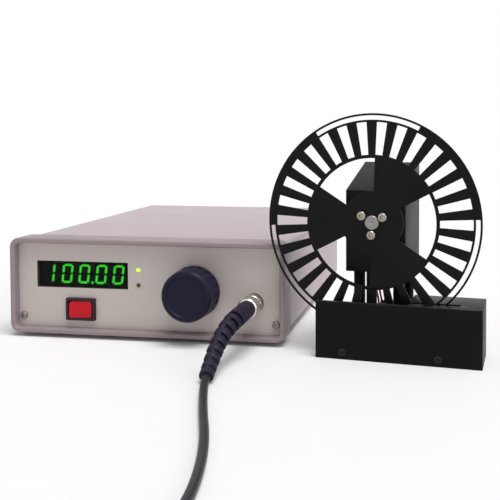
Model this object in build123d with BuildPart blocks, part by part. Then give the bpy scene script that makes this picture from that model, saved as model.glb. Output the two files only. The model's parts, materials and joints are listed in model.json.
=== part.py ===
from build123d import *
import math
import os

os.makedirs("parts", exist_ok=True)

# Optical chopper set: a bench control unit and the free-standing chopper head that it drives.
# Millimetres. +X to the right along the control unit's front, +Y to its back, +Z up.
# The origin is on the bench, in the middle of the two units' outline without the free lead.

# Control unit, case
unit_width = 208.0
unit_depth = 237.0
bezel_height = 70.0
bezel_depth = 19.0
bezel_lip = 3.7
bezel_corner = 7.0
bezel_edge = 0.8
foot_height = 3.0
foot_radius = 6.0
foot_inset_x = 16.0
foot_inset_y = 34.0
foot_taper = 6.0
sleeve_inset = 3.0
sleeve_drop = 2.0
sleeve_wall = 1.5
sleeve_corner = 3.0
seam_height = 11.0
panel_recess = 6.0
panel_thickness = 2.5
panel_gap = 0.15
ledge_width = 6.0
ledge_depth = 7.0
rear_recess = 3.0
rear_thickness = 2.0
boss_size = 9.0
boss_depth = 12.0

# Control unit, front panel places, from the unit's left side and the bench
panel_screw_inset = 7.6
panel_screw_z = 14.5
window_x = 54.0
window_z = 45.9
window_width = 71.3
window_height = 19.6
window_thickness = 2.0
digit_height = 14.2
digit_width = 8.2
digit_pitch = 13.35
digit_stroke = 1.5
digit_slant = 7.0
last_digit_x = 81.2
first_digit_x = 30.2
digit_z = 46.1
led_x = 97.7
led_pitch = 11.1
led_top_z = 50.6
led_radius = 1.5
rocker_x = 53.2
rocker_z = 20.6
knob_x = 141.2
knob_z = 36.8
knob_radius = 18.8
knob_length = 17.5
knob_gap = 2.5
knob_flutes = 20
knob_push = 0.5
knob_hollow = 8.0
knob_skirt = 2.2
knob_flute_radius = 3.4
knob_flute_depth = 0.8
knob_shaft_radius = 3.0
encoder_size = 14.0
encoder_depth = 8.0
encoder_nut = 6.0
encoder_nut_thickness = 2.0
bush_reach = 4.0
bush_radius = 3.9
plunger_radius = 4.5
plunger_thickness = 1.5
jack_x = 184.3
jack_z = 29.5

# Display behind its window
segment_gap = 0.05
segment_thickness = 0.4
module_depth = 8.0
board_left = 14.0
board_right = 108.0
board_low = 31.0
board_high = 66.0
board_corner = 3.5
small_spacer_radius = 2.4

# Rear panel places, from the unit's left side and the bench
inlet_x = 38.0
inlet_z = 42.0
inlet_width = 28.0
inlet_height = 22.0
inlet_wall = 2.0
inlet_bevel = 4.5
inlet_flange_width = 48.0
inlet_flange_border = 4.0
inlet_flange_thickness = 2.5
inlet_body_depth = 22.0
inlet_cavity_depth = 18.0
inlet_screw_pitch = 40.0
blade_pitch = 7.0
blade_width = 4.0
blade_thickness = 2.0
blade_length = 14.0
switch_x = 80.0
switch_z = 42.0
port_x = 126.0
reference_x = 164.0
connector_z = 42.0

# Main board and transformer on the case's tray
main_left = 24.0
main_right = 182.0
main_front = 52.0
main_rear = 150.0
main_corner = 5.0
main_spacer_radius = 3.2
main_spacer_height = 6.0
capacitor_places = [(60.0, 130.0), (78.0, 130.0)]
capacitor_radius = 6.5
capacitor_height = 22.0
chip_places = [(110.0, 90.0), (140.0, 90.0)]
chip_size = 14.0
chip_height = 4.0
driver_place = (60.0, 85.0)
header_place = (120.0, 62.0)
transformer_x = 52.0
transformer_y = 176.0
core_width = 48.0
core_depth = 16.0
core_height = 40.0
core_window_pitch = 24.0
core_window_width = 8.0
core_window_height = 24.0
winding_depth = 30.0
coil_clearance = 0.2

# Rocker switches
rocker_width = 22.8
rocker_height = 16.4
rocker_flange = 2.0
rocker_opening = 19.2
rocker_border = 1.4
rocker_body_depth = 14.0
rocker_length = 16.4
rocker_corner = 1.8
rocker_tilt = 8.0
rocker_pivot_depth = 3.2
rocker_gap = 0.25
rocker_pin_radius = 0.9
rocker_pin_length = 0.7
rocker_pin_cover = 0.9
rocker_side = 2.0
rocker_cutout = 19.8
rocker_floor = 4.0

# Fasteners
screw_end_gap = 1.0
pan_head_height = 1.6
pan_head_round = 0.9
cross_length = 3.0
cross_width = 0.8
cross_depth = 0.9
flat_head_height = 1.8
post_head_height = 2.4

# Fits
running_gap = 0.05
seat_gap = 0.1

# Round connectors
jack_radius = 4.8
jack_nut = 7.5
jack_reach = 11.0
jack_thread = 5.6
jack_flange_thickness = 1.5
jack_nut_thickness = 2.5
jack_wall = 0.7
jack_core = 2.4
jack_pin = 0.8
jack_bore_depth = 6.0
jack_tail = 10.0
jack_tail_pin = 4.0
lug_radius = 1.0
lug_height = 1.0
lug_root = 0.5
lug_setback = 3.0
socket_radius = 9.0
socket_reach = 3.0
socket_depth = 12.0
socket_neck = 8.0
socket_bore = 6.0
socket_bore_depth = 8.0
socket_key = 2.2
contact_circle = 3.6
contact_radius = 0.5
contact_length = 5.0

# Chopper head
head_x = 271.0
head_y = -11.0
head_turn = -6.0
axis_height = 91.0
wheel_radius = 73.0
wheel_thickness = 1.0
slot_count = 30
slot_inner = 45.4
slot_outer = 67.2
slot_sweep = 6.0
slot_phase = 0.3
window_count = 3
inner_window_inner = 21.2
inner_window_outer = 43.1
inner_window_start = -32.5
outer_window_inner = 68.7
outer_window_outer = 71.6
outer_window_start = 63.2
window_sweep = 60.0
hub_radius = 18.0
hub_flange = 4.0
hub_barrel_radius = 7.0
boss_radius = 4.8
boss_reach = 1.6
shaft_radius = 2.5
hub_screw_circle = 8.3
hub_screw_phase = 27.5
screw_radius = 1.5
screw_head_radius = 2.8
cap_head_radius = 3.0
cap_head_height = 3.0
hex_socket_radius = 1.45
hex_socket_depth = 2.0
base_left = -37.0
base_right = 74.0
base_front = -9.0
base_rear = 24.0
base_height = 38.5
base_plate_thickness = 7.0
cover_thickness = 3.0
tongue_half_width = 24.0
tongue_rear = 70.0
cover_screw_left = -18.7
cover_screw_right = 45.4
cover_screw_z = 4.8
cover_screw_head = 2.5
cover_screw_head_height = 1.0
cover_screw_length = 8.0
cover_sink = 1.2
cover_socket_depth = 0.9
guard_left = 25.0
guard_wall = 2.0
guard_slit = 4.0
guard_slit_end = 59.0
tower_half_width = 20.8
tower_front = 10.0
tower_rear = 68.0
tower_bottom = 55.5
roof_front = 111.4
roof_rear = 128.4
tower_wall = 2.5
tower_edge = 0.8
tower_floor_thickness = 3.0
post_x = 14.0
post_front = 22.0
post_rear = 60.0
post_radius = 4.0
motor_radius = 16.0
motor_length = 48.0
motor_nose_radius = 5.0
motor_screw_circle = 10.5
motor_screw_depth = 6.0
motor_head_height = 1.2
motor_cap_radius = 4.0
motor_cap = 3.0
shaft_end_gap = 1.0
hub_clearance = 0.5
sensor_board_gap = 1.5
board_thickness = 1.6
sensor_board_left = -8.0
sensor_board_right = 62.0
sensor_board_front = -5.0
sensor_board_rear = 15.0
inner_sensor_x = 8.0
outer_sensor_x = 37.0
sensor_gap = 5.0
sensor_arm = 3.0
sensor_width = 6.0
sensor_bridge = 1.9
sensor_over_beam = 3.0
lead_radius = 0.7
lead_offset = 1.1
lead_bend = 12.0
lead_hole_radius = 2.5
post_hole_radius = 2.55
post_hole_x = 21.0
post_hole_y = 6.0
head_socket_x = 60.0
head_socket_z = 22.0

# Free coaxial lead from the front jack
cable_radius = 2.5
boot_core_radius = 4.0
boot_ribs = 8
boot_rib_radius = 6.3
boot_rib_end_radius = 4.4
boot_rib_width = 3.8
boot_runs = 5
boot_collar = 7.0
boot_plain_share = 0.33
cable_rest = cable_radius + 0.1
plug_radius = 7.3
plug_start = 3.0
plug_length = 15.0
plug_body_radius = 4.9
plug_body_end = -13.2
coil_middle_radius = 25.0
coil_width = 15.0
coil_height = 10.1
coil_lift = 0.05
coil_outer_turn = coil_middle_radius + coil_width / 2 - cable_radius
coil_entry = 14.0
tie_gap = 0.3
tie_wall = 1.0
tie_width = 5.0
far_plug_gap = 0.1
far_plug_x = 31.0
far_plug_y = -23.0
far_boot_length = 26.0
far_boot_taper = 3.0
coil_x = 250.0
coil_y = -260.0

# Frames of the two units
turn = math.radians(head_turn)
head_right = head_x + base_right * math.cos(turn) - base_rear * math.sin(turn)
head_front = head_y + base_right * math.sin(turn) + base_front * math.cos(turn)
rear_jack_reach = unit_depth - rear_recess + jack_reach
middle_x = head_right / 2
middle_y = (head_front + rear_jack_reach) / 2
unit = Plane(origin=(-middle_x, -middle_y, 0))
head = Plane(
    origin=(head_x - middle_x, head_y - middle_y, 0),
    x_dir=(math.cos(turn), math.sin(turn), 0),
    z_dir=(0, 0, 1),
)
head_across = Axis(tuple(head.origin), tuple(head.x_dir))


def front(frame, y):
    """Plane at depth y that faces the front: its X runs right and its Y up."""
    return Plane(origin=frame.from_local_coords((0, y, 0)), x_dir=frame.x_dir, z_dir=-frame.y_dir)


def rear(frame, y):
    """Plane at depth y that faces the back: its X runs left and its Y up."""
    return Plane(origin=frame.from_local_coords((0, y, 0)), x_dir=-frame.x_dir, z_dir=frame.y_dir)


def level(frame, z):
    """Plane at height z that faces up."""
    return Plane(origin=frame.from_local_coords((0, 0, z)), x_dir=frame.x_dir, z_dir=frame.z_dir)


def side(frame, x):
    """Plane at x that faces right: its X runs back and its Y up."""
    return Plane(origin=frame.from_local_coords((x, 0, 0)), x_dir=frame.y_dir, z_dir=frame.x_dir)


def moved(plane, x, y):
    """The same plane with its origin moved within itself."""
    return Plane(origin=plane.from_local_coords((x, y, 0)), x_dir=plane.x_dir, z_dir=plane.z_dir)


def ring_sector(inner, outer, start, sweep):
    """Closed outline of a sector of a ring, angles in degrees from the sketch's X."""
    CenterArc((0, 0), outer, start, sweep)
    CenterArc((0, 0), inner, start, sweep)
    for angle in (math.radians(start), math.radians(start + sweep)):
        along = (math.cos(angle), math.sin(angle))
        Line((inner * along[0], inner * along[1]), (outer * along[0], outer * along[1]))


def cross_screws(mount, places, length):
    """Pan-head screws with cross recesses, seated on the plane at the places."""
    with BuildPart() as screws:
        with BuildSketch(mount):
            with Locations(*places):
                Circle(screw_head_radius)
        extrude(amount=pan_head_height)
        along = Axis(tuple(mount.origin), tuple(mount.z_dir))
        fillet(screws.edges().group_by(along)[-1], pan_head_round)
        with BuildSketch(mount.offset(pan_head_height)):
            with Locations(*places):
                Rectangle(cross_length, cross_width)
                Rectangle(cross_width, cross_length)
        extrude(amount=-cross_depth, mode=Mode.SUBTRACT)
        with BuildSketch(mount):
            with Locations(*places):
                Circle(screw_radius)
        extrude(amount=-length)
    return screws


def plain_screws(mount, places, head_height, length):
    """Flat-head screws without a recess, for places that nobody sees."""
    with BuildPart() as screws:
        with BuildSketch(mount):
            with Locations(*places):
                Circle(screw_head_radius)
        extrude(amount=head_height)
        with BuildSketch(mount):
            with Locations(*places):
                Circle(screw_radius)
        extrude(amount=-length)
    return screws


pieces = {}

# Derived sizes of the control unit
unit_middle = unit_width / 2
knob_front = panel_recess - knob_gap - knob_length
bezel_middle = foot_height + bezel_height / 2
opening_width = unit_width - 2 * bezel_lip
opening_height = bezel_height - 2 * bezel_lip
panel_back = panel_recess + panel_thickness
sleeve_width = unit_width - 2 * sleeve_inset
sleeve_height = bezel_height - 2 * sleeve_drop
sleeve_floor = foot_height + sleeve_drop
sleeve_length = unit_depth - bezel_depth
inner_width = sleeve_width - 2 * sleeve_wall
inner_height = sleeve_height - 2 * sleeve_wall
rear_face = unit_depth - rear_recess
rear_seat = rear_face - rear_thickness
boss_x = inner_width / 2 - boss_size / 2
boss_z = inner_height / 2 - boss_size / 2

panel_screw_places = [
    (panel_screw_inset, panel_screw_z),
    (unit_width - panel_screw_inset, panel_screw_z),
]

# Front bezel: a deep moulded frame with the ledges that the panel is screwed to
with BuildPart() as front_bezel:
    with BuildSketch(front(unit, 0)):
        with Locations((unit_middle, bezel_middle)):
            RectangleRounded(unit_width, bezel_height, bezel_corner)
            RectangleRounded(opening_width, opening_height, bezel_corner - bezel_lip, mode=Mode.SUBTRACT)
    extrude(amount=-bezel_depth)
    outer_rims = front_bezel.edges().group_by(Axis((0, 0, 0), (0, 1, 0)))[0]
    chamfer(outer_rims, bezel_edge)
    with BuildSketch(front(unit, panel_back)):
        for place in (bezel_lip + ledge_width / 2, unit_width - bezel_lip - ledge_width / 2):
            with Locations((place, bezel_middle)):
                Rectangle(ledge_width, opening_height)
    extrude(amount=-ledge_depth)
    with BuildSketch(front(unit, panel_back)):
        with Locations(*panel_screw_places):
            Circle(screw_radius)
    extrude(amount=-ledge_depth, mode=Mode.SUBTRACT)
pieces["front_bezel"] = front_bezel

# Front panel with its cut-outs
panel_mount = front(unit, panel_recess)
with BuildPart() as front_panel:
    with BuildSketch(panel_mount):
        with Locations((unit_middle, bezel_middle)):
            RectangleRounded(
                opening_width - 2 * panel_gap,
                opening_height - 2 * panel_gap,
                bezel_corner - bezel_lip - panel_gap,
            )
        with Locations((window_x, window_z)):
            Rectangle(window_width, window_height, mode=Mode.SUBTRACT)
        with Locations((led_x, led_top_z), (led_x, led_top_z - led_pitch)):
            Circle(led_radius + seat_gap, mode=Mode.SUBTRACT)
        with Locations((rocker_x, rocker_z)):
            Rectangle(rocker_cutout, rocker_height - rocker_border, mode=Mode.SUBTRACT)
        with Locations((knob_x, knob_z)):
            Circle(bush_radius + seat_gap, mode=Mode.SUBTRACT)
        with Locations((jack_x, jack_z)):
            Circle(jack_thread, mode=Mode.SUBTRACT)
        with Locations(*panel_screw_places):
            Circle(screw_radius, mode=Mode.SUBTRACT)
    extrude(amount=-panel_thickness)
pieces["front_panel"] = front_panel

# Pan-head screws that hold the front panel to the bezel
pieces["panel_screws"] = cross_screws(
    panel_mount, panel_screw_places, panel_thickness + ledge_depth - screw_end_gap
)

# Case: an inverted U over a shallow tray, with screw bosses at the rear corners
sleeve_front = front(unit, bezel_depth)
boss_front = front(unit, rear_seat - boss_depth)
seam_cut = seam_height - sleeve_floor
with BuildPart() as case_top:
    with BuildSketch(sleeve_front):
        with Locations((unit_middle, bezel_middle)):
            RectangleRounded(sleeve_width, sleeve_height, sleeve_corner)
            RectangleRounded(inner_width, inner_height, sleeve_corner - sleeve_wall, mode=Mode.SUBTRACT)
        with Locations((unit_middle, sleeve_floor + seam_cut / 2)):
            Rectangle(unit_width, seam_cut, mode=Mode.SUBTRACT)
    extrude(amount=-sleeve_length)
    with BuildSketch(boss_front):
        with Locations(*[(unit_middle + side_x, bezel_middle + boss_z) for side_x in (-boss_x, boss_x)]):
            Rectangle(boss_size, boss_size)
    extrude(amount=-boss_depth)
    with BuildSketch(boss_front):
        with Locations(*[(unit_middle + side_x, bezel_middle + boss_z) for side_x in (-boss_x, boss_x)]):
            Circle(screw_radius)
    extrude(amount=-boss_depth, mode=Mode.SUBTRACT)
pieces["case_top"] = case_top

with BuildPart() as case_bottom:
    with BuildSketch(sleeve_front):
        with Locations((unit_middle, bezel_middle)):
            RectangleRounded(sleeve_width, sleeve_height, sleeve_corner)
            RectangleRounded(inner_width, inner_height, sleeve_corner - sleeve_wall, mode=Mode.SUBTRACT)
        with Locations((unit_middle, seam_height + bezel_height / 2)):
            Rectangle(unit_width, bezel_height, mode=Mode.SUBTRACT)
    extrude(amount=-sleeve_length)
    with BuildSketch(boss_front):
        with Locations(*[(unit_middle + side_x, bezel_middle - boss_z) for side_x in (-boss_x, boss_x)]):
            Rectangle(boss_size, boss_size)
    extrude(amount=-boss_depth)
    with BuildSketch(boss_front):
        with Locations(*[(unit_middle + side_x, bezel_middle - boss_z) for side_x in (-boss_x, boss_x)]):
            Circle(screw_radius)
    extrude(amount=-boss_depth, mode=Mode.SUBTRACT)
pieces["case_bottom"] = case_bottom

# Four rubber feet under the tray
foot_places = [
    (x, y)
    for x in (foot_inset_x, unit_width - foot_inset_x)
    for y in (foot_inset_y, unit_depth - foot_inset_y)
]
with BuildPart() as feet:
    with BuildSketch(level(unit, sleeve_floor)):
        with Locations(*foot_places):
            Circle(foot_radius)
    extrude(amount=-sleeve_floor, taper=foot_taper)
pieces["feet"] = feet

# Rear panel, its screws and its connectors
rear_mount = rear(unit, rear_face)
with BuildPart() as rear_panel:
    with BuildSketch(rear_mount):
        with Locations((-unit_middle, bezel_middle)):
            RectangleRounded(inner_width, inner_height, sleeve_corner - sleeve_wall)
            with GridLocations(2 * boss_x, 2 * boss_z, 2, 2):
                Circle(screw_radius, mode=Mode.SUBTRACT)
        with Locations((-inlet_x, inlet_z)):
            Rectangle(inlet_width, inlet_height, mode=Mode.SUBTRACT)
            with GridLocations(inlet_screw_pitch, 0, 2, 1):
                Circle(screw_radius, mode=Mode.SUBTRACT)
        with Locations((-switch_x, switch_z)):
            Rectangle(rocker_cutout, rocker_height - rocker_border, mode=Mode.SUBTRACT)
        with Locations((-port_x, connector_z)):
            Circle(socket_neck, mode=Mode.SUBTRACT)
        with Locations((-reference_x, connector_z)):
            Circle(jack_thread, mode=Mode.SUBTRACT)
    extrude(amount=-rear_thickness)
pieces["rear_panel"] = rear_panel

corner_places = [
    (-unit_middle + side_x, bezel_middle + side_z)
    for side_x in (-boss_x, boss_x)
    for side_z in (-boss_z, boss_z)
]
inlet_mount = moved(rear_mount, -inlet_x, inlet_z)
inlet_screw_places = [(-inlet_screw_pitch / 2, 0), (inlet_screw_pitch / 2, 0)]
corner_screws = cross_screws(rear_mount, corner_places, rear_thickness + boss_depth - screw_end_gap)
inlet_screws = cross_screws(
    inlet_mount.offset(inlet_flange_thickness), inlet_screw_places, inlet_flange_thickness + rear_thickness
)
with BuildPart() as rear_screws:
    add(corner_screws.part)
    add(inlet_screws.part)
pieces["rear_screws"] = rear_screws

# Mains inlet: flange, hollow body and three contact blades
half_width = inlet_width / 2 - inlet_wall
half_height = inlet_height / 2 - inlet_wall - 1.0
with BuildPart() as power_inlet:
    with BuildSketch(inlet_mount):
        RectangleRounded(inlet_flange_width, inlet_height + inlet_flange_border, 3.0)
        with GridLocations(inlet_screw_pitch, 0, 2, 1):
            Circle(screw_radius, mode=Mode.SUBTRACT)
    extrude(amount=inlet_flange_thickness)
    with BuildSketch(inlet_mount):
        Rectangle(inlet_width, inlet_height)
    extrude(amount=-inlet_body_depth)
    with BuildSketch(inlet_mount.offset(inlet_flange_thickness)):
        with BuildLine():
            Polyline(
                (-half_width, -half_height), (half_width, -half_height),
                (half_width, half_height - inlet_bevel),
                (half_width - inlet_bevel, half_height), (inlet_bevel - half_width, half_height),
                (-half_width, half_height - inlet_bevel), close=True,
            )
        make_face()
    extrude(amount=-inlet_cavity_depth, mode=Mode.SUBTRACT)
    with BuildSketch(inlet_mount.offset(inlet_flange_thickness - inlet_cavity_depth)):
        with Locations((-blade_pitch, 1.5), (blade_pitch, 1.5), (0, -3.5)):
            Rectangle(blade_thickness, blade_width)
    extrude(amount=blade_length)
pieces["power_inlet"] = power_inlet


def rocker_frame(mount):
    """Snap-in switch frame: flange, hollow body and two pivot bores across its short way."""
    inside_height = rocker_height - 2 * rocker_side
    body_height = rocker_height - rocker_border
    with BuildPart() as frame_part:
        with BuildSketch(mount):
            RectangleRounded(rocker_width, rocker_height, 1.0)
        extrude(amount=rocker_flange)
        with BuildSketch(mount):
            Rectangle(rocker_cutout, body_height)
        extrude(amount=-rocker_body_depth)
        with BuildSketch(mount.offset(rocker_flange)):
            RectangleRounded(rocker_opening, inside_height, 0.5)
        extrude(amount=-(rocker_flange + rocker_body_depth - rocker_floor), mode=Mode.SUBTRACT)
        pivot = Plane(
            origin=mount.from_local_coords((0, -rocker_height / 2, rocker_flange - rocker_pivot_depth)),
            x_dir=mount.x_dir,
            z_dir=mount.y_dir,
        )
        with BuildSketch(pivot.offset(rocker_pin_cover)):
            Circle(rocker_pin_radius + running_gap)
        extrude(amount=rocker_height - 2 * rocker_pin_cover, mode=Mode.SUBTRACT)
    return frame_part


def rocker_button(mount):
    """Rocking key, stored with the end on the plane's +X side pressed in."""
    key_height = rocker_height - 2 * rocker_side - 2 * rocker_gap
    lean = math.radians(rocker_tilt)
    pivot = Plane(
        origin=mount.from_local_coords((0, 0, rocker_flange - rocker_pivot_depth)),
        x_dir=mount.x_dir * math.cos(lean) - mount.z_dir * math.sin(lean),
        z_dir=mount.y_dir,
    )
    half = rocker_length / 2
    rise = rocker_pivot_depth + 0.3
    tip = rise + half * math.tan(lean)
    with BuildPart() as key:
        with BuildSketch(pivot.offset(-key_height / 2)):
            with BuildLine():
                Polyline(
                    (-half, 0.4), (-half, -tip), (0, -rise), (half, -tip), (half, 0.4),
                    (3.0, 5.0), (-3.0, 5.0), close=True,
                )
            make_face()
        extrude(amount=key_height)
        upright = [edge for edge in key.edges() if abs((edge % 0.5).dot(pivot.y_dir)) > 0.999]
        fillet(upright, rocker_corner)
        with BuildSketch(pivot.offset(-key_height / 2 - rocker_pin_length)):
            Circle(rocker_pin_radius)
        extrude(amount=key_height + 2 * rocker_pin_length)
    return key


rocker_mount = moved(panel_mount, rocker_x, rocker_z)
pieces["rocker_frame"] = rocker_frame(rocker_mount)
pieces["rocker_button"] = rocker_button(rocker_mount)
switch_mount = moved(rear_mount, -switch_x, switch_z)
pieces["power_switch_frame"] = rocker_frame(switch_mount)
pieces["power_switch_button"] = rocker_button(switch_mount)


def coaxial_jack(mount, wall):
    """Bulkhead jack: barrel with two bayonet lugs, socket insulator, flange, thread and back nut."""
    with BuildPart() as jack:
        with BuildSketch(mount):
            Circle(jack_nut)
        extrude(amount=jack_flange_thickness)
        with BuildSketch(mount):
            Circle(jack_radius)
        extrude(amount=jack_reach)
        with BuildSketch(mount.offset(jack_reach)):
            Circle(jack_radius - jack_wall)
            Circle(jack_core, mode=Mode.SUBTRACT)
        extrude(amount=-jack_bore_depth, mode=Mode.SUBTRACT)
        with BuildSketch(mount.offset(jack_reach)):
            Circle(jack_pin)
        extrude(amount=1.0 - jack_bore_depth, mode=Mode.SUBTRACT)
        lug_plane = Plane(
            origin=mount.from_local_coords((0, -jack_radius - lug_height, jack_reach - lug_setback)),
            x_dir=mount.x_dir,
            z_dir=mount.y_dir,
        )
        for start in (0, 2 * jack_radius + lug_height - lug_root):
            with BuildSketch(lug_plane.offset(start)):
                Circle(lug_radius)
            extrude(amount=lug_height + lug_root)
        with BuildSketch(mount):
            Circle(jack_thread)
        extrude(amount=-jack_tail)
        with BuildSketch(mount.offset(-wall)):
            RegularPolygon(jack_nut, 6)
        extrude(amount=-jack_nut_thickness)
        with BuildSketch(mount.offset(-jack_tail)):
            Circle(jack_pin)
        extrude(amount=-jack_tail_pin)
    return jack


jack_mount = moved(panel_mount, jack_x, jack_z)
pieces["sync_jack"] = coaxial_jack(jack_mount, panel_thickness)
pieces["reference_jack"] = coaxial_jack(moved(rear_mount, -reference_x, connector_z), rear_thickness)


def round_socket(mount):
    """Round multi-way socket with a key and sunk contacts."""
    with BuildPart() as socket:
        with BuildSketch(mount):
            Circle(socket_radius)
        extrude(amount=socket_reach)
        chamfer(socket.edges().sort_by(Axis(tuple(mount.origin), tuple(mount.z_dir)))[-1], 0.5)
        with BuildSketch(mount):
            Circle(socket_neck)
        extrude(amount=-socket_depth)
        with BuildSketch(mount.offset(socket_reach)):
            Circle(socket_bore)
            with Locations((0, socket_bore - 0.4)):
                Rectangle(socket_key, socket_key, mode=Mode.SUBTRACT)
        extrude(amount=-socket_bore_depth, mode=Mode.SUBTRACT)
        with BuildSketch(mount.offset(socket_reach - socket_bore_depth)):
            with PolarLocations(contact_circle, 7, 30, 300):
                Circle(contact_radius)
            Circle(contact_radius)
        extrude(amount=contact_length)
    return socket


pieces["head_port"] = round_socket(moved(rear_mount, -port_x, connector_z))

# Display: tinted window, lit segments on the module's face, the module and its board
window_back = panel_recess + window_thickness
module_face = window_back + segment_gap + segment_thickness
display_board_y = module_face + module_depth
with BuildPart() as display_window:
    with BuildSketch(panel_mount):
        with Locations((window_x, window_z)):
            Rectangle(window_width - 2 * seat_gap, window_height - 2 * seat_gap)
    extrude(amount=-window_thickness)
pieces["display_window"] = display_window

lean = math.tan(math.radians(digit_slant))
bar_height = digit_height / 2 - 1.3 * digit_stroke
bar_width = digit_width - 1.6 * digit_stroke


def upright_bar(x, z):
    """Slanted bar of a digit, centred on x, z."""
    half = bar_height / 2
    shift = lean * half
    Polyline(
        (x - digit_stroke / 2 - shift, z - half), (x + digit_stroke / 2 - shift, z - half),
        (x + digit_stroke / 2 + shift, z + half), (x - digit_stroke / 2 + shift, z + half),
        close=True,
    )


def level_bar(x, z):
    """Level bar of a digit with bevelled ends."""
    half = bar_width / 2
    Polyline(
        (x - half, z), (x - half + digit_stroke / 2, z + digit_stroke / 2),
        (x + half - digit_stroke / 2, z + digit_stroke / 2), (x + half, z),
        (x + half - digit_stroke / 2, z - digit_stroke / 2),
        (x - half + digit_stroke / 2, z - digit_stroke / 2),
        close=True,
    )


with BuildPart() as display_digits:
    with BuildSketch(front(unit, module_face)):
        quarter = digit_height / 4 - 0.1
        reach = digit_height / 2 - digit_stroke / 2
        for row in (-quarter, quarter):
            with BuildLine():
                upright_bar(first_digit_x + lean * row, digit_z + row)
            make_face()
        for number in range(4):
            middle = last_digit_x - number * digit_pitch
            for row in (-quarter, quarter):
                for column in (-1, 1):
                    with BuildLine():
                        upright_bar(
                            middle + column * (digit_width - digit_stroke) / 2 + lean * row,
                            digit_z + row,
                        )
                    make_face()
            for row in (-reach, reach):
                with BuildLine():
                    level_bar(middle + lean * row, digit_z + row)
                make_face()
        with Locations((last_digit_x - 1.5 * digit_pitch - 0.4, digit_z - reach)):
            Circle(0.9)
    extrude(amount=segment_thickness)
pieces["display_digits"] = display_digits

with BuildPart() as display_module:
    with BuildSketch(front(unit, module_face)):
        with Locations((window_x, window_z)):
            Rectangle(window_width - 1.0, window_height - 1.0)
    extrude(amount=-module_depth)
pieces["display_module"] = display_module

spacer_places = [
    (x, z)
    for x in (board_left + board_corner, board_right - board_corner)
    for z in (board_low + board_corner, board_high - board_corner)
]
with BuildPart() as display_board:
    with BuildSketch(front(unit, display_board_y)):
        with Locations(((board_left + board_right) / 2, (board_low + board_high) / 2)):
            Rectangle(board_right - board_left, board_high - board_low)
    extrude(amount=-board_thickness)
pieces["display_board"] = display_board

with BuildPart() as display_spacers:
    with BuildSketch(front(unit, panel_back)):
        with Locations(*spacer_places):
            Circle(small_spacer_radius)
    extrude(amount=-(display_board_y - panel_back))
pieces["display_spacers"] = display_spacers


def indicator(z):
    """Round-topped lamp with its collar behind the panel and two legs to the board."""
    with BuildPart() as lamp:
        with BuildSketch(front(unit, panel_back + 0.9)):
            with Locations((led_x, z)):
                Circle(led_radius)
        extrude(amount=panel_thickness + 2.0)
        fillet(lamp.edges().group_by(Axis.Y)[0], 1.1)
        with BuildSketch(front(unit, panel_back)):
            with Locations((led_x, z)):
                Circle(led_radius + 0.45)
        extrude(amount=-1.0)
        with BuildSketch(front(unit, panel_back + 1.0)):
            with Locations((led_x, z + 0.9), (led_x, z - 0.9)):
                Rectangle(0.6, 0.6)
        extrude(amount=-(display_board_y - panel_back - 1.0))
    return lamp


pieces["led_lit"] = indicator(led_top_z)
pieces["led_dark"] = indicator(led_top_z - led_pitch)

# Encoder with its push plunger, and the fluted knob on its shaft
plunger_seat = panel_back + 3.0
plunger_y = plunger_seat + knob_push
shaft_tip = knob_front + 4.0
knob_mount = moved(panel_mount, knob_x, knob_z)
with BuildPart() as encoder_body:
    with BuildSketch(moved(front(unit, panel_back), knob_x, knob_z)):
        RectangleRounded(encoder_size, encoder_size, 1.0)
    extrude(amount=-encoder_depth)
    with BuildSketch(moved(front(unit, panel_back), knob_x, knob_z)):
        Circle(bush_radius)
    extrude(amount=panel_thickness + bush_reach)
    with BuildSketch(knob_mount):
        RegularPolygon(encoder_nut, 6)
    extrude(amount=encoder_nut_thickness)
    with BuildSketch(knob_mount.offset(bush_reach)):
        Circle(knob_shaft_radius + running_gap)
    extrude(amount=-(bush_reach + plunger_seat - panel_recess), mode=Mode.SUBTRACT)
    with BuildSketch(moved(front(unit, plunger_seat), knob_x, knob_z)):
        Circle(plunger_radius + seat_gap)
    extrude(amount=-(plunger_thickness + 2 * knob_push), mode=Mode.SUBTRACT)
pieces["encoder_body"] = encoder_body

with BuildPart() as encoder_plunger:
    with BuildSketch(moved(front(unit, plunger_y), knob_x, knob_z)):
        Circle(plunger_radius)
    extrude(amount=-plunger_thickness)
pieces["encoder_plunger"] = encoder_plunger

with BuildPart() as encoder_shaft:
    with BuildSketch(moved(front(unit, plunger_y), knob_x, knob_z)):
        Circle(knob_shaft_radius)
    extrude(amount=plunger_y - shaft_tip)
pieces["encoder_shaft"] = encoder_shaft

knob_back = panel_recess - knob_gap
with BuildPart() as knob:
    with BuildSketch(Plane(
        origin=unit.from_local_coords((knob_x, 0, knob_z)), x_dir=unit.y_dir, z_dir=unit.x_dir
    )):
        with BuildLine():
            Polyline(
                (knob_back, knob_hollow), (knob_back, knob_radius), (knob_front + 1.5, knob_radius - 0.7),
                (knob_front, knob_radius - 2.2), (knob_front, knob_radius - 4.2),
                (knob_front + 0.9, knob_radius - 4.8), (knob_front + 0.9, 0),
                (shaft_tip, 0), (shaft_tip, knob_shaft_radius), (knob_back - 5.0, knob_shaft_radius),
                (knob_back - 5.0, knob_hollow), close=True,
            )
        make_face()
    revolve(axis=Axis(tuple(unit.from_local_coords((knob_x, 0, knob_z))), (0, 1, 0)))
    with BuildSketch(moved(front(unit, knob_back - knob_skirt), knob_x, knob_z)):
        with PolarLocations(knob_radius + knob_flute_radius - knob_flute_depth, knob_flutes):
            Circle(knob_flute_radius)
    extrude(amount=knob_length, mode=Mode.SUBTRACT)
pieces["knob"] = knob

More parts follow.
